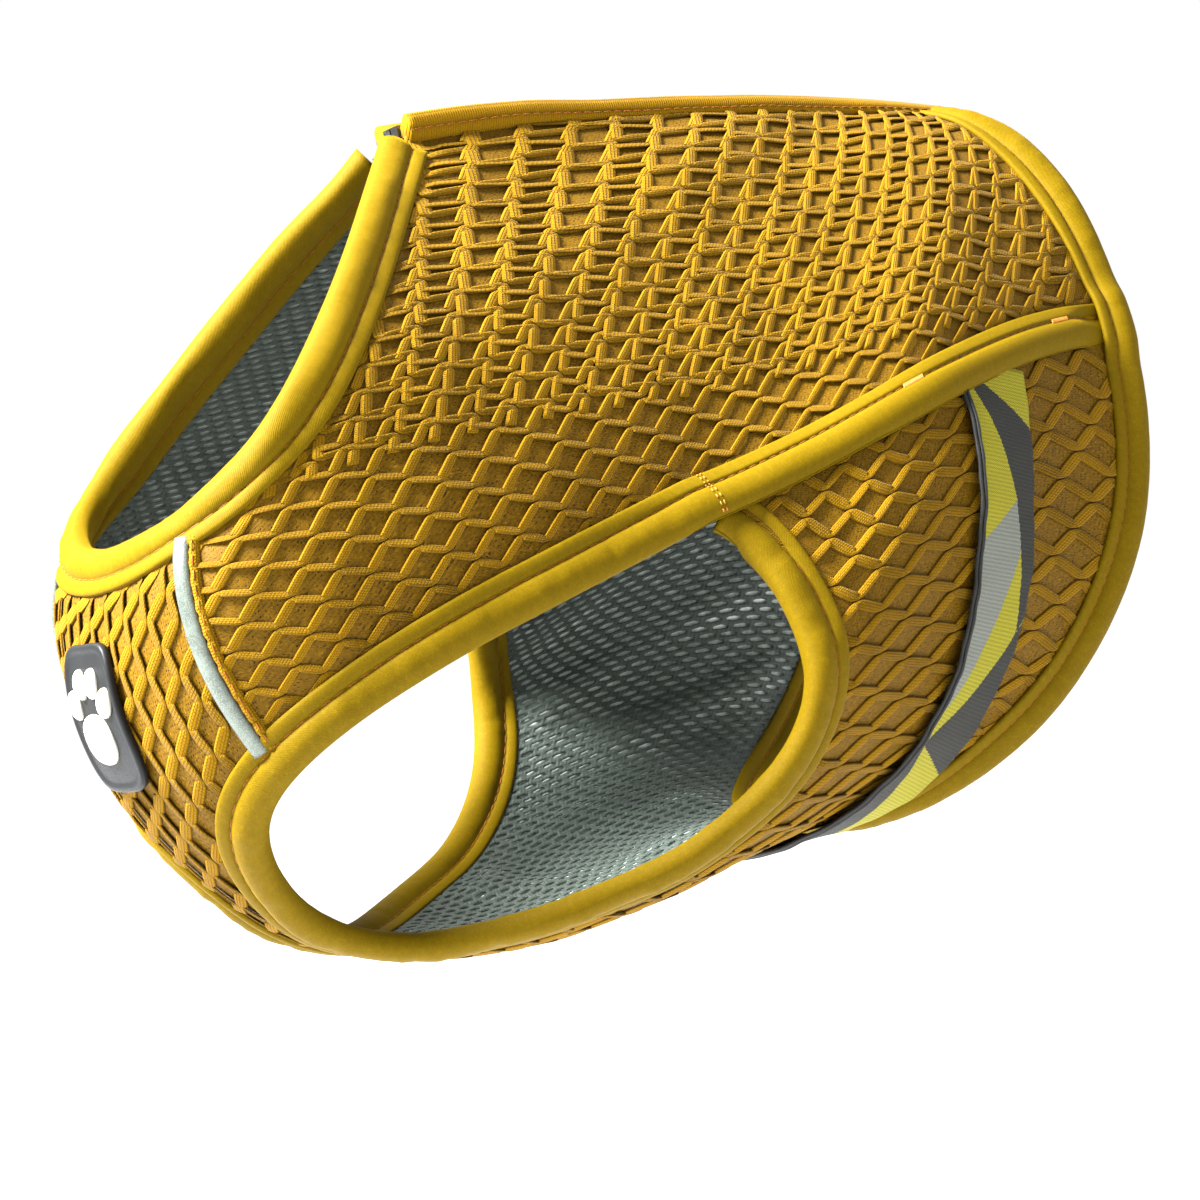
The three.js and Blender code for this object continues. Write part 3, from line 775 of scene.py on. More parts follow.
def reflective():
    p = Paint("reflective_tape", roughness=0.34, specular=0.6, metallic=0.35)
    beads = p.node("TexVoronoi", Vector=p.space(), Scale=3.2, Randomness=1.0).outputs["Distance"]
    cloud = p.noise(p.space(), 3, 3)
    # Painted glints: each bead is paler at its middle than at its rim.
    colour = p.mix(p.ramp(beads, 0.05, 0.6), srgb(112, 121, 112), srgb(74, 81, 74))
    colour = p.mix(p.ramp(cloud, 0.4, 0.7, 0, 0.5), colour, srgb(106, 115, 106))
    return p.finish(colour, beads, 0.3, 0.0001)


def rubber(name, tint, specular=0.35):
    p = Paint(name, roughness=0.42, specular=specular)
    grain = p.noise(p.space(), 0.5, 3)
    dust = p.noise(p.space(), 5, 3)
    colour = p.mix(p.ramp(dust, 0.4, 0.75, 0, 0.5), tint, tinted(tint, 0.8))
    return p.finish(colour, grain, 0.25, 0.0001, p.ramp(grain, 0.3, 0.7, 0.36, 0.55))


def metal():
    p = Paint("zip_black_nickel", roughness=0.3, specular=0.5, metallic=0.92)
    wear = p.noise(p.space(), 1.4, 4, 0.65)
    colour = p.mix(p.ramp(wear, 0.55, 0.72, 0, 0.6), srgb(70, 71, 68), srgb(150, 148, 140))
    return p.finish(colour, wear, 0.12, 0.0001, p.ramp(wear, 0.3, 0.7, 0.22, 0.42))


# The strap's woven shards: corners as (across the strap, from the front edge; millimetres along it), and a yarn.
SHARD_REPEAT = 168.0
PICK = 0.45  # millimetres from one weft pick to the next
ENDS = 60.0  # warp ends across the strap
SHARDS = (
    ("charcoal", ((0.03, 2), (1.1, 18.5), (1.1, 45), (0.62, 37))),
    ("charcoal", ((0.62, 37), (1.1, 45), (1.1, 62), (0.88, 71))),
    ("grey", ((-0.1, 52), (0.62, 37), (0.72, 50), (-0.1, 107))),
    ("charcoal", ((-0.1, 105), (0.88, 71), (1.1, 62), (1.1, 112))),
    ("charcoal", ((-0.1, 104), (0.02, 103), (0.75, 140), (1.1, 168), (-0.1, 172))),
)


def jacquard():
    p = Paint("strap_jacquard", roughness=0.7, specular=0.15)
    across, along = p.weave()
    stair = p.times(p.math("FLOOR", p.math("DIVIDE", along, PICK)), PICK)
    shard_v = p.math("MODULO", stair, SHARD_REPEAT)
    shard_u = p.times(p.math("FLOOR", p.times(p.math("DIVIDE", across, STRAP_WIDTH), ENDS)), 1 / ENDS)
    ridge = p.sine(p.times(along, RING / 1.05))
    twill = p.sine(p.times(p.plus(across, p.times(along, 1.6)), 7.5))
    grain = p.noise(p.join(across, p.times(along, 0.5)), 0.35, 2)
    yarns = {"yellow": srgb(134, 128, 26), "charcoal": srgb(42, 42, 39), "grey": srgb(108, 111, 103)}
    colour = yarns["yellow"]
    for yarn, corners in SHARDS:
        centre = [sum(c[k] for c in corners) / len(corners) for k in (0, 1)]
        cover = 1.0
        for a, b in zip(corners, corners[1:] + corners[:1]):
            nu, nv = b[1] - a[1], a[0] - b[0]
            offset = nu * a[0] + nv * a[1]
            sign = 1 if nu * centre[0] + nv * centre[1] > offset else -1
            value = p.math("MULTIPLY_ADD", shard_u, nu * sign, p.times(shard_v, nv * sign))
            test = p.math("GREATER_THAN", value, offset * sign)
            cover = p.times(cover, test)
        colour = p.mix(cover, colour, yarns[yarn])
    shade = p.plus(p.plus(p.times(ridge, 0.3), p.times(twill, 0.35)), grain)
    return p.finish(p.scaled(colour, p.ramp(shade, -0.1, 1.1, 0.62, 1.12)), shade, 0.55, 0.00022)


RIBBON_KNIT = knit_ribbon()
PIN_MESH = pin_mesh()
VELOUR = velour("binding_velour", BINDING)
STITCH = yarn("stitch_thread", THREAD)
TACK_THREAD = yarn("tack_thread", srgb(160, 100, 34))
AIR_MESH = air_mesh()
FILM = film()
REFLECTIVE = reflective()
BLACK_RUBBER = rubber("black_rubber", srgb(24, 25, 26), 0.15)
WHITE_RUBBER = rubber("white_rubber", srgb(176, 174, 162))
BLACK_CORD = yarn("strap_edge_cord", srgb(34, 34, 33))
JACQUARD = jacquard()
ZIP_TAPE = nylon("zip_tape_weave", srgb(132, 102, 12), 0.7)
ZIP_COIL = nylon("zip_coil_nylon", srgb(118, 92, 14), 0.35)
METAL = metal()

# ---------------------------------------------------------------- panels
def shell(places, low, high, cloth):
    """A sheet between two heights over the skin, with its weave and its area."""
    top, bottom = (skin(places, out).reshape(-1, 3) for out in (high, low))
    faces = grid_faces(*places.shape[:2])
    points, closed = thicken(top, bottom, faces)
    return points, closed, np.concatenate([cloth.flat(places)] * 2), area_of(top, faces)


RIBBON_HALF = 1.22
RIBBON_APART = 0.78  # how far each ribbon's bend stays from the corner it shares with its neighbour
RIBBON_BOTTOM = 0.35  # over the base mesh
RIBBON_TOP = 0.95
RIBBON_TILT = 0.28
RIBBON_EASE = 0.13  # the share of a step over which a ribbon bends
# Its section: shares of the half width and of the height.
RIBBON_PROFILE = np.array([
    (-1, 0.0), (-1.02, 0.45), (-0.8, 0.86), (-0.4, 0.97), (0, 1.0), (0.4, 0.97), (0.8, 0.86), (1.02, 0.45),
    (1, 0.0),
])
BASE_TOP = -1.15
BASE_THICK = 0.9


def strands(step_a, step_b, box, extra=3):
    """Centre lines of the zigzag ribbons, as flat places[strand][step], with a side vector, running length,
    tilt and share of the full width for each step. step_a and step_b are the lattice's two edges."""
    basis = np.array([step_a, step_b], float)
    corners = np.array([(x, y) for x in box[0] for y in box[1]]) @ np.linalg.inv(basis)
    low, high = np.floor(corners.min(0)) - extra, np.ceil(corners.max(0)) + extra
    apart = RIBBON_APART / np.linalg.norm(basis[0] - basis[1])
    lag = np.arange(low[1] - high[0], high[1] - low[0] + 1)
    m = np.arange(low[0], high[0] + 1)
    even = np.stack(np.broadcast_arrays(m[None] - apart, m[None] + lag[:, None] + apart), -1)
    odd = np.stack(np.broadcast_arrays(m[None] + apart, m[None] + lag[:, None] + 1 - apart), -1)
    knots = np.stack([even, odd], 2).reshape(len(lag), -1, 2) @ basis
    before = knots[:, 1:-1] + (knots[:, :-2] - knots[:, 1:-1]) * RIBBON_EASE
    after = knots[:, 1:-1] + (knots[:, 2:] - knots[:, 1:-1]) * RIBBON_EASE
    bend = [
        before * (1 - t) ** 2 + knots[:, 1:-1] * 2 * t * (1 - t) + after * t**2 for t in (0, 0.25, 0.5, 0.75, 1)
    ]
    onward = np.roll(before, -1, axis=1)
    straight = [after + (onward - after) * t for t in (0.25, 0.5, 0.75)]
    steps = np.stack(bend + straight, 2)[:, :-1]
    # After an even knot the ribbon runs along step_b, after an odd one along step_a.
    odd_knot = (np.arange(steps.shape[1]) % 2 == 0)[None, :, None]
    blend = smooth(np.array([0, 0.25, 0.5, 0.75, 1, 1, 1, 1]))[None, None]
    tilt = np.where(odd_knot, -1 + 2 * blend, 1 - 2 * blend)
    tilt = np.broadcast_to(tilt, steps.shape[:3]).reshape(len(lag), -1)
    narrow = np.broadcast_to(np.tile([0.97, 0.9, 0.86, 0.9, 0.97, 1, 1, 1], steps.shape[1]), tilt.shape)
    line_ = steps.reshape(len(lag), -1, 2)
    travel = np.gradient(line_, axis=1)
    travel /= np.maximum(np.linalg.norm(travel, axis=-1, keepdims=True), 1e-9)
    side = np.stack([travel[..., 1], -travel[..., 0]], -1)
    run = np.cumsum(np.linalg.norm(np.diff(line_, axis=1), axis=-1), 1)
    return line_, side, np.concatenate([np.zeros((len(lag), 1)), run], 1), tilt, narrow


def honeycomb(cloth, borders, widths, step_a, step_b, box):
    """The ribbons inside a panel. Their second UV layer is 1 along step_b, whose ribbons are painted darker as
    shade, and 0 along step_a, whose ribbons are painted lighter.
    """
    centre, side, length, tilt, narrow = strands(step_a, step_b, box)
    places = cloth.place(centre)
    keep = inside(places, borders) & (places[..., 0] > -0.01) & (places[..., 0] < 1.01)
    rows = keep.any(axis=1)
    centre, side, length, tilt, narrow, places, keep = (
        x[rows] for x in (centre, side, length, tilt, narrow, places, keep)
    )
    room = np.full(keep.shape, -1.0)
    room[keep] = clearance(places[keep], borders, widths)
    stand = smooth(room, 0.3, 3.2)
    profile_x, profile_y = RIBBON_PROFILE.T
    across = profile_x * RIBBON_HALF
    flat = centre[:, :, None] + side[:, :, None] * (across * narrow[..., None])[..., None]
    rise = RIBBON_BOTTOM + profile_y * (RIBBON_TOP - RIBBON_BOTTOM)
    lean = tilt[..., None] * profile_x * RIBBON_TILT
    height = BASE_TOP + 0.08 + (rise[None, None] + lean) * (0.18 + 0.82 * stand[..., None])
    points = skin(cloth.place(flat), height)
    strand_count, steps, size = points.shape[:3]
    index = np.arange(strand_count * steps * size).reshape(strand_count, steps, size)
    along = keep[:, :-1] & keep[:, 1:]
    a, b = index[:, :-1][along], index[:, 1:][along]
    faces = [np.stack([a, np.roll(a, -1, 1), np.roll(b, -1, 1), b], -1).reshape(-1, 4)]
    linked_before = np.pad(along, ((0, 0), (1, 0)))
    linked_after = np.pad(along, ((0, 0), (0, 1)))
    faces.append(index[linked_after & ~linked_before][:, ::-1])
    faces.append(index[linked_before & ~linked_after])
    uv = pair((profile_x + 1) * 5, length[..., None]).reshape(-1, 2)
    # Painted shade: 1 on the ribbons along step_b, which the ribbon material darkens.
    tone = pair((1 - tilt)[..., None] / 2 * np.ones(size), 0.0).reshape(-1, 2)
    return points.reshape(-1, 3), faces, uv, tone


LINING_OUT = -3.75
LINING_IN = -4.1
CORE = (-3.15, -2.6)
PITCH, ROW, HOLE = 3.3, 2.7, (1.28, 0.82)  # the air mesh's cells and holes


def folds(places):
    """How far the loose lining hangs inwards from its place, in soft creases."""
    s, around = places[..., 0], half_turn(places[..., 1])
    wave = (
        0.5 * np.sin(31 * s + 6 * np.sin(3.1 * around) + 1.1)
        + 0.35 * np.sin(14 * around - 8 * s + 2 * np.sin(9 * s))
        + 0.3 * np.sin(46 * s - 11 * around + 0.7)
        + 0.2 * np.sin(23 * around + 21 * s)
    )
    return 2.6 * smooth(wave, -0.3, 1.2)


def slack(places, borders, widths):
    """The creases, fading out towards the bindings."""
    return folds(places) * smooth(clearance(places, borders, widths), -1, 12)


def perforated(cloth, borders, widths, box):
    """The air mesh: staggered cells, each with an oval hole."""
    i = np.arange(math.floor(box[0][0] / PITCH), math.ceil(box[0][1] / PITCH) + 1)
    j = np.arange(math.floor(box[1][0] / ROW), math.ceil(box[1][1] / ROW) + 1)
    i, j = (x.ravel() for x in np.meshgrid(i, j))
    middle = np.stack([(i + 0.5 * (j % 2)) * PITCH, (j + 0.5) * ROW], -1)
    places = cloth.place(middle)
    keep = inside(places, borders) & (places[:, 0] > 0) & (places[:, 0] < 1)
    i, j, middle = i[keep], j[keep], middle[keep]
    room = clearance(places[keep], borders, widths)
    ring = np.array([(1, 0), (1, 1), (0, 1), (-1, 1), (-1, 0), (-1, -1), (0, -1), (1, -1)])
    key = np.stack([2 * i + (j % 2), 2 * j + 1], -1)[:, None] + ring[None]
    flat_key, number = np.unique(key.reshape(-1, 2), axis=0, return_inverse=True)
    number = number.reshape(-1, 8)
    outer = flat_key * (PITCH / 2, ROW / 2)
    turn = np.arctan2(ring[:, 1] * 0.8, ring[:, 0])
    oval = np.stack([np.cos(turn), np.sin(turn)], -1) * HOLE
    holes = middle[:, None] + oval[None] * np.where(room > 1.5, 1.0, 0.45)[:, None, None]
    flat = np.concatenate([outer, holes.reshape(-1, 2)])
    inner = len(outer) + np.arange(len(i) * 8).reshape(-1, 8)
    faces = np.stack([number, np.roll(number, -1, 1), np.roll(inner, -1, 1), inner], -1).reshape(-1, 4)
    at = cloth.place(flat)
    depth = slack(at, borders, widths)
    points, closed = thicken(skin(at, LINING_OUT - depth), skin(at, LINING_IN - depth), faces)
    return points, closed, np.concatenate([flat, flat])


spine_cloth = Cloth(keel=False, lean=(0.28, -0.004))
keel_cloth = Cloth(keel=True)
lining_back = Cloth(keel=False)
PANELS = {
    # borders, cells, cloth, lattice edges, box of flat millimetres, hidden widths (near, right, far, left)
    "back": (
        back_panel(), (110, 90), spine_cloth, (0.1, -9.7), (7.5, 2.2), ((-60, 300), (-30, 330)),
        (hides((0.7, REACH), (0.3, 0.4)), REACH, REACH, 0.8),
    ),
    "chest": (
        chest_panel(), (60, 90), keel_cloth, (2.6, -6.6), (5.9, 3.4), ((0, 202), (-160, 160)),
        (REACH, hides((0.4, 0.4), (0.6, REACH)), 1.0, hides((0.6, REACH), (0.4, 0.4))),
    ),
    "belly": (
        belly_panel(), (80, 170), keel_cloth, (2.95, 8.1), (7.4, -6.3), ((0, 202), (-330, 330)),
        (REACH, FLANK_REACH, REACH, FLANK_REACH),
    ),
}

for panel, (borders, cells, cloth, edge_a, edge_b, box, widths) in PANELS.items():
    build, lining_cloth = (both, lining_back) if panel == "back" else (one, cloth)
    places = patch(borders, *cells)
    points, faces, uv, area = shell(places, BASE_TOP - BASE_THICK, BASE_TOP, cloth)
    bases = build(
        panel + "_base_mesh", points, faces, PIN_MESH, uv=uv, slot="mesh_cloth", replaces=[panel + "_mesh"]
    )
    points, faces, uv, tone = honeycomb(cloth, borders, widths, edge_a, edge_b, box)
    combs = build(panel + "_honeycomb", points, faces, RIBBON_KNIT, uv=uv, tone=tone, slot="mesh_cloth")
    depth = slack(places, borders, widths)
    points, faces, uv, area_core = shell(places, CORE[0] - depth, CORE[1] - 0.8 * depth, cloth)
    cores = build(
        panel + "_core_sheet", points, faces, FILM, uv=uv, slot="core_cloth", replaces=[panel + "_absorbent_core"]
    )
    points, faces, uv = perforated(lining_cloth, borders, widths, ((0, 202), box[1]))
    linings = build(
        panel + "_air_mesh", points, faces, AIR_MESH, uv=uv, slot="lining_cloth", replaces=[panel + "_lining"]
    )
    for base, comb, core, lining in zip(bases, combs, cores, linings):
        declare(base, area)
        declare(core, area_core)
        declare(lining, area_core)

# ---------------------------------------------------------------- bindings
# The section of a rolled binding: distance from the edge, height over the skin. It wraps round the edge. Rows 8
# and 28 are its stitched grooves, row 12 its crown and row 36 its inside.
ROLL = np.array([
    (12.0, -0.9), (12.05, -0.3), (11.8, 0.18), (11.2, 0.4), (10.2, 0.5), (9.2, 0.46), (8.6, 0.3), (8.25, 0.0),
    (8.0, -0.3), (7.75, 0.05), (7.3, 0.6), (6.5, 1.1), (5.3, 1.5), (4.0, 1.66), (2.6, 1.55), (1.3, 1.15),
    (0.3, 0.5), (-0.35, -0.4), (-0.65, -1.4), (-0.65, -2.5), (-0.3, -3.6), (0.4, -4.4), (1.5, -5.1),
    (2.8, -5.5), (4.2, -5.6), (5.6, -5.4), (6.8, -4.9), (7.5, -4.5), (8.0, -4.2), (8.5, -4.5), (9.3, -4.75),
    (10.4, -4.8), (11.4, -4.7), (11.9, -4.45), (12.0, -3.9), (9.5, -3.5), (7.5, -2.6), (9.5, -1.4),
])
GROOVES = (8, 28)
STITCH_LENGTH = 2.5
STITCH_GAP = 0.9
STITCH_RADIUS = 0.2
STITCH_LIFT = 0.16
TAIL_PLAIN = 16.0  # the end of an edge binding that lies under its start has no stitches
BINDING_WAVES = ((0.5, 31), (0.4, 17.3), (0.35, 9.1), (0.3, 6.2), (0.2, 4.1))  # height, length


def waves(length, parts):
    return sum(a * np.sin(length * RING / w + p) for a, w, p in parts)


def along_line(where, length, rows):
    """Points of a line of rows, at lengths along it."""
    return np.stack([np.interp(where, length, rows[:, k]) for k in range(3)], -1)


def across_of(places, side):
    return sideways(places, np.gradient(bare(places), axis=0), side)


def stitched(track, length, stop=0.0):
    """Where the stitches along a line start, and both ends of each."""
    start = np.arange(1.0, length[-1] - STITCH_LENGTH - stop, STITCH_LENGTH + STITCH_GAP)
    return start, along_line(start, length, track), along_line(start + STITCH_LENGTH, length, track)


def bound(places, length, side, lift=0.0, flat=None, fall=0.8, seed=0):
    """Rings of the rolled binding along places. lift raises the roll, less by the share fall at its far edge, and
    flat turns its inner half up."""
    travel = np.gradient(bare(places), axis=0)
    kernel = np.hanning(9) / np.hanning(9).sum()
    padded = np.pad(travel, ((4, 4), (0, 0)), mode="edge")
    travel = np.stack([np.convolve(padded[:, k], kernel, "valid") for k in range(3)], -1)
    across = sideways(places, travel, side)
    flat = np.zeros(len(places)) if flat is None else flat
    phase = np.random.default_rng(seed).uniform(0, RING, 5)
    wave = waves(length, [(a, w, p) for (a, w), p in zip(BINDING_WAVES, phase)])
    rings = []
    for w, h in ROLL:
        on_roll = math.exp(-((w - 4.2) / 3.2) ** 2)
        upper = h > -2.0
        height = h + (0.28 if upper else -0.2) * wave * on_roll
        height = np.where(flat > 0, height * (1 - flat) + flat * (h if upper else max(-0.5, h * 0.12)), height)
        height = height + lift * (1 - fall * smooth(w, 7.5, 12))
        rings.append(skin(shift(places, across, w), height))
    section = np.concatenate([[0], np.cumsum(np.linalg.norm(np.diff(ROLL, axis=0), axis=1))])
    return np.stack(rings, 1), pair(section, length[:, None]).reshape(-1, 2)


def stitch_line(rings, length, index, stop):
    """Stitches along one line of a binding's rings."""
    start, a, b = stitched(rings[:, index], length, stop)
    other, near = (along_line(start, length, rings[:, k]) for k in (index - 1, index + 1))
    normal = unit(np.cross(b - a, near - other))
    normal *= np.sign((normal * ((other + near) / 2 - a)).sum(-1, keepdims=True) + 1e-12)
    return a + normal * STITCH_LIFT, b + normal * STITCH_LIFT * 0.6, normal


def binding_piece(name, places, length, side, node, build=one, stop=0.0, **more):
    rings, uv = bound(places, length, side, **more)
    bands = build(name + "_roll", *sweep(rings), VELOUR, uv=uv, slot="binding_cloth", replaces=[node])
    lines = [stitch_line(rings, length, index, stop) for index in GROOVES]
    ends = (np.concatenate(both_lines) for both_lines in zip(*lines))
    rows = build(name + "_stitches", *threads(*ends, STITCH_RADIUS), STITCH, slot="tack_thread")
    return rings


neck_zip, hem_zip = zip_edge(0.02, 0.5), zip_edge(1.0, 0.5)
places, length = spaced(edge_at(0, neck_zip, RING - neck_zip), 1.6)
binding_piece("neck_binding", places, length, -1, "neck_binding", seed=1)

places, length = spaced(edge_at(1, hem_zip, RING - hem_zip), 1.8)
OVER_FLANK = (1.31, 0.095)  # the hem binding runs over the diagonal's end: middle and half width in phi
over_flank = np.exp(-(((half_turn(places[:, 1]) - OVER_FLANK[0]) / OVER_FLANK[1]) ** 4))
binding_piece("hem_binding", places, length, 1, "rear_hem_binding", lift=1.5 * over_flank, fall=0.0, seed=2)

FLANK_HEM = 0.985  # the diagonal stops just inside the hem
edge_curve = joined(lambda t: flank(FLANK_HEM * (1 - np.asarray(t))), part(leg_hole, 0, 0.992), 0.35)
places, length = spaced(edge_curve, 1.3)
off_corner = np.abs(places - LEG_HOLE[0]).sum(-1) + (length > 200) * 9  # past 200 mm the leg hole closes
corner = length[np.argmin(off_corner)]
total = length[-1]
on_flank = 1 - smooth(length, corner - 4, corner + 16)
at_hem = 1 - smooth(length, 8, 24)
tail = smooth(length, total - 24, total - 10)
lift = 1.7 * on_flank * (1 - at_hem) - 1.6 * at_hem - 1.5 * tail
tucked = np.maximum(on_flank, smooth(length, total - 12, total - 3))
edge_rings = binding_piece(
    "edge_binding", places, length, 1, "edge_binding", both, TAIL_PLAIN, lift=lift, flat=tucked, seed=3
)
edge_length = length

# ---------------------------------------------------------------- piping
places, length = spaced(piping, 1.2)
across = across_of(places, 1)


def ridge(places, across, section, raised):
    """Rings of a section, as (distance across, height), along places."""
    return np.stack([skin(shift(places, across, w), raised(h)) for w, h in section], 1)


def welt(name, rings, length):
    """A panel's turned edge."""
    uv = pair(np.linspace(0, 10, rings.shape[1]), length[:, None]).reshape(-1, 2)
    both(name, *sweep(rings), RIBBON_KNIT, uv=uv, slot="mesh_cloth")


TAPE_SECTION = (
    (-2.0, -0.3), (-2.05, 0.25), (-1.7, 0.75), (-1.0, 1.05), (0, 1.15), (1.0, 1.05), (1.7, 0.75), (2.05, 0.25),
    (2.0, -0.3), (1.0, -0.9), (-1.0, -0.9),
)
rings = ridge(places, across, TAPE_SECTION, lambda h: h - 0.15)
pipes = both(
    "reflective_piping_tape", *sweep(rings), REFLECTIVE, slot="reflective_cloth", replaces=["reflective_piping"]
)

# The back panel's turned edge beside the piping: a gathered ridge with a row of stitches.
crinkle = waves(length, ((0.25, 3.1, 0.3), (0.2, 5.3, 1.2), (0.15, 2.1, 2.0)))
SEAM_SECTION = ((-2.1, -1.4), (-2.15, 0.0), (-2.6, 0.55), (-3.3, 0.5), (-3.9, 0.15), (-4.3, -0.5), (-4.4, -1.4))
rings = ridge(places, across, SEAM_SECTION, lambda h: h + crinkle * (0.9 if h > -0.3 else 0.2))
welt("back_seam_fold", rings, length)
start, a, b = stitched(rings[:, 3], length)
ahead = unit(b - a)
up = unit(np.cross(ahead, np.cross(unit(a - along_line(start, length, rings[:, 0])), ahead)))
both("piping_seam_stitches", *threads(a + up * 0.1, b + up * 0.1, up, STITCH_RADIUS), STITCH, slot="tack_thread")

# ---------------------------------------------------------------- strap
strap_start = flank_phi(STRAP_MIDDLE[0] - 0.03) - 0.05


def strap_middle(t):
    phi = strap_start + (RING - 2 * strap_start) * np.asarray(t, float)
    round_ = np.sin(PI * (phi - strap_start) / (RING - 2 * strap_start))
    return pair(STRAP_MIDDLE[0] + (STRAP_MIDDLE[1] - STRAP_MIDDLE[0]) * round_, phi)


places, length = spaced(strap_middle, 1.5)
across = across_of(places, -1)
under = smooth(np.minimum(length, length[-1] - length), 6, 24)
columns = np.linspace(-1, 1, 25)
sag = waves(length, ((0.22, 47, 0.6), (0.16, 23, 0)))
top, bottom = [], []
for c in columns:
    at = shift(places, across, c * STRAP_WIDTH / 2)
    edge = 1 - 0.5 * smooth(abs(c), 0.9, 1.0)
    base = 0.35 + 0.7 * under + 0.25 * np.cos(c * PI / 2) * under
    base = base + sag * c + 0.12 * np.sin(length * RING / 11 + 2 * c) * abs(c)
    top.append(skin(at, base + 0.55 + 0.6 * edge * (0.6 + 0.4 * under)))
    bottom.append(skin(at, base + 0.2))
top, bottom = np.stack(top, 1), np.stack(bottom, 1)
points, faces = thicken(top.reshape(-1, 3), bottom.reshape(-1, 3), grid_faces(len(length), len(columns)))
uv = np.concatenate([pair((columns + 1) / 2 * STRAP_WIDTH, length[:, None]).reshape(-1, 2)] * 2)
strap = make(
    "belly_strap", points, faces, JACQUARD, uv=uv, slot="strap_web", replaces=["elastic_belly_strap"]
)
# Two ribs along its front edge.
normal = unit(np.cross(np.gradient(top[:, 0], axis=0), top[:, 1] - top[:, 0]))
normal *= np.sign((normal * (top[:, 0] - bottom[:, 0])).sum(-1, keepdims=True))
outward = unit(top[:, 0] - top[:, 1])
for k, (away, rise) in enumerate(((0.35, 0.1), (-0.75, 0.25))):
    centre = top[:, 0] + outward * away + normal * rise
    fat = 0.52 + 0.06 * np.sin(length * RING / 1.9 + k)
    points, faces = sweep(centre[:, None] + fat[:, None, None] * circles(outward, normal, 8))
    make(f"strap_edge_rib_{k + 1}", points, faces, BLACK_CORD, slot="strap_web")

# ---------------------------------------------------------------- bar tacks
def on_edge(where, index):
    return along_line(where, edge_length, edge_rings[:, index])


def tack_across(where, name, node):
    """A dense row of stitches across the binding, in two lines."""
    track = np.array([on_edge(where, k) for k in range(2, 17)])
    path = along_line(np.linspace(0, len(track) - 1, 20), np.arange(len(track)), track)
    ahead = unit(on_edge(where + 1, 12) - on_edge(where, 12))
    rows = [path + ahead * offset for offset in (-0.55, 0.55)]
    starts, ends = (np.concatenate([row[first::2] for row in rows]) for first in (0, 1))
    ups = unit(np.cross(np.broadcast_to(ahead, starts.shape), ends - starts))
    ups *= np.sign((ups * (starts - bare(flank(np.array(0.1))) * 0.9)).sum(-1, keepdims=True))
    points, faces = threads(starts + ups * 0.12, ends + ups * 0.12, ups, 0.22)
    both(name, points, faces, TACK_THREAD, slot="tack_thread", replaces=[node])


def tack_along(where, name, node, size=7.0):
    """A short bar of close stitches in the groove."""
    steps = np.linspace(-size / 2, size / 2, 14)
    centre = on_edge(where + steps, 8)
    side = unit(on_edge(where + steps, 10) - on_edge(where + steps, 6))
    ahead = unit(np.gradient(centre, axis=0))
    ups = unit(np.cross(side, ahead))
    ups *= np.sign((ups * (on_edge(where + steps, 12) - on_edge(where + steps, 36))).sum(-1, keepdims=True))
    slant = ahead * 0.5
    centre = centre + ups * 0.45
    points, faces = threads(centre - side * 0.8 - slant, centre + side * 0.8 + slant, ups, 0.24)
    both(name, points, faces, TACK_THREAD, slot="tack_thread", replaces=[node])


tack_across(corner - 4.0, "leg_bar_tack", "leg_tack")
tack_along(corner * 0.56, "strap_bar_tack", "strap_tack")
tack_along(corner * 0.16, "hem_bar_tack", "hem_tack")

# ---------------------------------------------------------------- badge
def on_badge(x, y, height):
    """Points over the badge's middle: x towards the tail, y across, both in millimetres."""
    a, b = tangents(np.array([BADGE_S, PI]))
    return skin(pair(BADGE_S + x / np.linalg.norm(a), PI + y / np.linalg.norm(b)), height)


def disc(centre, radii, power, profile, turn=0.0, sides=40):
    """A closed plate with a superellipse outline; profile is (share of the radius, height) from top to bottom."""
    angle = np.arange(sides) * RING / sides
    c, s = np.cos(angle), np.sin(angle)
    reach = (np.abs(c) ** power + np.abs(s) ** power) ** (-1 / power)
    x0, y0 = c * reach * radii[0], s * reach * radii[1]
    x = x0 * math.cos(turn) - y0 * math.sin(turn)
    y = x0 * math.sin(turn) + y0 * math.cos(turn)
    return sweep(np.stack([on_badge(centre[0] + x * r, centre[1] + y * r, h) for r, h in profile]))


PLATE_PROFILE = (
    (0.03, 1.45), (0.5, 1.45), (0.84, 1.45), (0.88, 1.5), (0.905, 2.0), (0.96, 2.05), (0.985, 1.9), (1.0, 1.4),
    (1.0, 0.3), (0.5, 0.1), (0.03, 0.1),
)
PAD_PROFILE = (
    (0.05, 3.1), (0.4, 3.05), (0.7, 2.8), (0.88, 2.4), (0.97, 1.9), (1.0, 1.3), (0.5, 1.2), (0.05, 1.2),
)
points, faces = disc((0, 0), (BADGE_SIZE[0] / 2, BADGE_SIZE[1] / 2), 4.5, PLATE_PROFILE, sides=64)
make("badge_plate", points, faces, BLACK_RUBBER, slot="black_rubber", replaces=["chest_badge"])
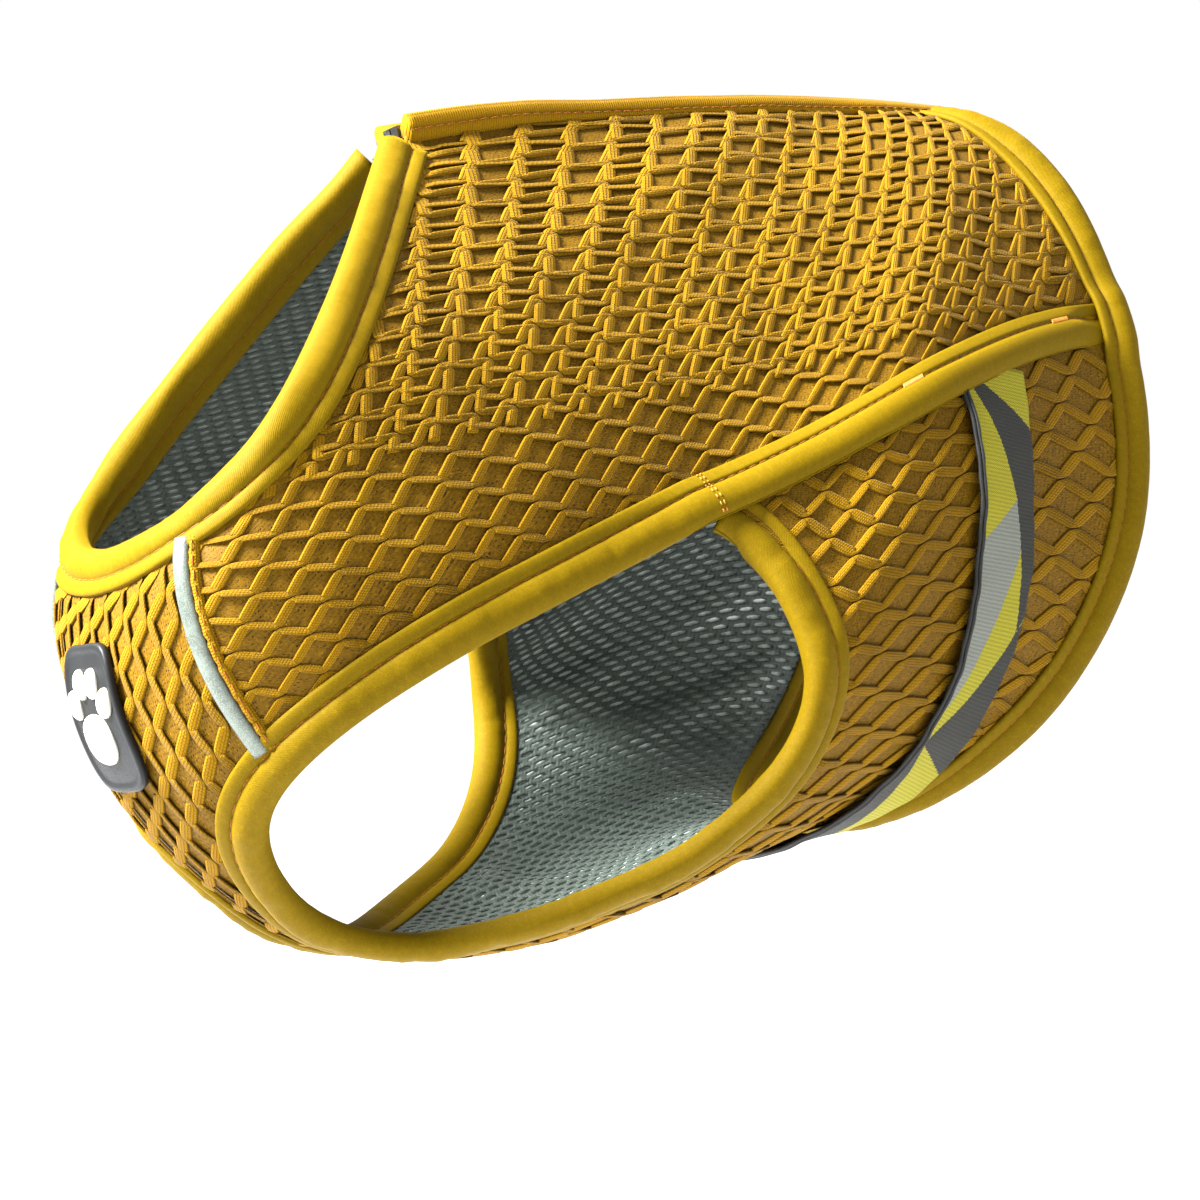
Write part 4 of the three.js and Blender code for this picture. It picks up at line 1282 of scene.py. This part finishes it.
# The paw: one large pad and four toes, each with its middle, radii, outline's power and turn.
pads = [((4.6, 0), (6.2, 7.0), 2.3, 0.0)]
for x, y, turn in ((-3.6, -8.0, 0.45), (-8.6, -3.2, 0.12), (-8.6, 3.2, -0.12), (-3.6, 8.0, -0.45)):
    pads.append(((x, y), (3.7, 2.7), 2.0, turn))
all_points, all_faces, count = [], [[], [], []], 0
for centre, radii, power, turn in pads:
    points, faces = disc(centre, radii, power, PAD_PROFILE, turn)
    all_points.append(points)
    for store, f in zip(all_faces, faces):
        store.append(f + count)
    count += len(points)
make(
    "badge_relief", np.concatenate(all_points), [np.concatenate(f) for f in all_faces], WHITE_RUBBER,
    slot="white_rubber", replaces=["badge_emblem"],
)

# ---------------------------------------------------------------- zip
def on_spine(x, y, out):
    """Points over the spine's arc."""
    x, y, out = np.broadcast_arrays(np.asarray(x, float), np.asarray(y, float), np.asarray(out, float))
    angle = (x - SPINE_MIDDLE_X) / SPINE_RADIUS
    r = SPINE_RADIUS - ZIP_SINK + out
    return np.stack([SPINE_MIDDLE_X + r * np.sin(angle), y, SPINE_TOP - SPINE_RADIUS + r * np.cos(angle)], -1)


TAPE_WEB = (
    (-0.2, -2.5), (-1.5, -2.45), (-3.5, -2.2), (-5.0, -1.3), (-7.2, -0.9), (-7.2, -1.5), (-5.2, -1.9),
    (-3.4, -2.9), (-1.5, -3.1), (-0.2, -3.1),
)
tape_x = np.arange(ZIP_X[0], ZIP_X[1] + 7.01, 1.0)
rings = np.stack([on_spine(tape_x, y, h) for y, h in TAPE_WEB], 1)
both("zip_tape_web", *sweep(rings), ZIP_TAPE, slot="zip_nylon", replaces=["zip_tape"])

COIL_PITCH = 1.5
for side, sign, lag in (("left", -1, 0.0), ("right", 1, COIL_PITCH / 2)):
    x = np.arange(ZIP_X[0] + 0.6 + lag, ZIP_X[1] - 0.8, COIL_PITCH)
    a = on_spine(x, sign * 3.05, -1.3)
    b = on_spine(x + 0.1, sign * -0.35, -0.6)
    up = unit(on_spine(x, 0, 1) - on_spine(x, 0, 0))
    points, faces = threads(a, b, up, 0.46, sides=8, lift=0.9)
    make("zip_coil_" + side, points, faces, ZIP_COIL, slot="zip_coil", replaces=["zip_teeth_" + side])

# The back panels' turned edges along the zip, with a row of stitches.
places, length = spaced(along_zip(0.014, 0.98, -1.2), 1.6)
across = across_of(places, -1)
if shift(places[:1], across[:1], 3.0)[0, 1] < places[0, 1]:
    across = -across
FOLD_SECTION = (
    (0.0, -2.6), (-0.5, -0.9), (-0.5, 0.8), (0.0, 2.0), (0.9, 2.6), (1.9, 2.4), (3.0, 1.6), (4.1, 0.6),
    (4.9, -0.5), (5.0, -1.5),
)
garage = 1.6 * (1 - smooth(length, 34, 62))  # the fold stands higher beside the slider
rings = ridge(places, across, FOLD_SECTION, lambda h: h + garage * (0 < h))
welt("back_zip_fold", rings, length)
start, a, b = stitched(rings[:, 7], length)
up = np.broadcast_to(np.array([0.0, 0.0, 1.0]), a.shape)
both("zip_seam_stitches", *threads(a + up * 0.12, b + up * 0.12, up, STITCH_RADIUS), STITCH, slot="tack_thread")

# The zip's metal pieces are the CAD's own, with softened edges.
for node in (
    "zip_slider", "zip_pull_tab", "zip_top_stop_left", "zip_top_stop_right", "zip_insertion_pin",
    "zip_retaining_box",
):
    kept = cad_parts[node]
    kept.data.materials.clear()
    kept.data.materials.append(METAL)
    bevel = kept.modifiers.new("rounded", "BEVEL")
    bevel.width, bevel.segments, bevel.limit_method = 0.00025, 2, "ANGLE"

# ---------------------------------------------------------------- floor, light, camera
floor_mesh = bpy.data.meshes.new("floor")
FLOOR_Z, FLOOR_HALF = -0.3, 30.0
floor_corners = ((-1, -1), (1, -1), (1, 1), (-1, 1))
floor_mesh.from_pydata([(x * FLOOR_HALF, y * FLOOR_HALF, FLOOR_Z) for x, y in floor_corners], [], [(0, 1, 2, 3)])
floor = bpy.data.objects.new("floor", floor_mesh)
bpy.context.scene.collection.objects.link(floor)
pale = bpy.data.materials.new("pale_floor")
pale.use_nodes = True
shader = pale.node_tree.nodes["Principled BSDF"]
shader.inputs["Base Color"].default_value = (0.45, 0.45, 0.45, 1)
shader.inputs["Roughness"].default_value = 0.9
shader.inputs["Specular IOR Level"].default_value = 0.0
shader.inputs["Emission Color"].default_value = (1, 1, 1, 1)
shader.inputs["Emission Strength"].default_value = 0.62
floor_mesh.materials.append(pale)

world = bpy.data.worlds.new("studio")
bpy.context.scene.world = world
world.use_nodes = True
world.node_tree.nodes["Background"].inputs[0].default_value = (1, 1, 1, 1)
world.node_tree.nodes["Background"].inputs[1].default_value = 1.0


def area_light(name, place, target, size, power):
    light = bpy.data.lights.new(name, "AREA")
    light.size, light.energy = size, power
    obj = bpy.data.objects.new(name, light)
    bpy.context.scene.collection.objects.link(obj)
    obj.location = place
    obj.rotation_euler = (Vector(target) - Vector(place)).to_track_quat("-Z", "Y").to_euler()


CAMERA_TURN = (-35.13, 0.77, -7.99)  # azimuth, elevation and roll in degrees
azimuth, elevation, roll = (math.radians(v) for v in CAMERA_TURN)
TARGET = Vector((0, 0, -0.024))
DISTANCE = 0.64
right0 = Vector((math.cos(azimuth), math.sin(azimuth), 0))
level = Vector((math.sin(azimuth), -math.cos(azimuth), 0))
back = level * math.cos(elevation) + Vector((0, 0, math.sin(elevation)))
up0 = back.cross(right0)
right = math.cos(roll) * right0 + math.sin(roll) * up0
up = -math.sin(roll) * right0 + math.cos(roll) * up0
area_light("key", TARGET + back * 0.42 - right0 * 0.85 + Vector((0, 0, 1.0)), (0, 0, 0), 0.5, 250)
area_light("top", (0.15, 0.1, 1.3), (0, 0, 0), 0.9, 8)

camera_data = bpy.data.cameras.new("camera")
camera_data.lens, camera_data.sensor_width = 72, 36
camera_data.clip_start, camera_data.clip_end = 0.01, 100
camera = bpy.data.objects.new("camera", camera_data)
bpy.context.scene.collection.objects.link(camera)
matrix = Matrix((right, up, back)).transposed().to_4x4()
matrix.translation = TARGET + back * DISTANCE
camera.matrix_world = matrix
bpy.context.scene.camera = camera
bpy.context.scene.view_settings.view_transform = "Standard"
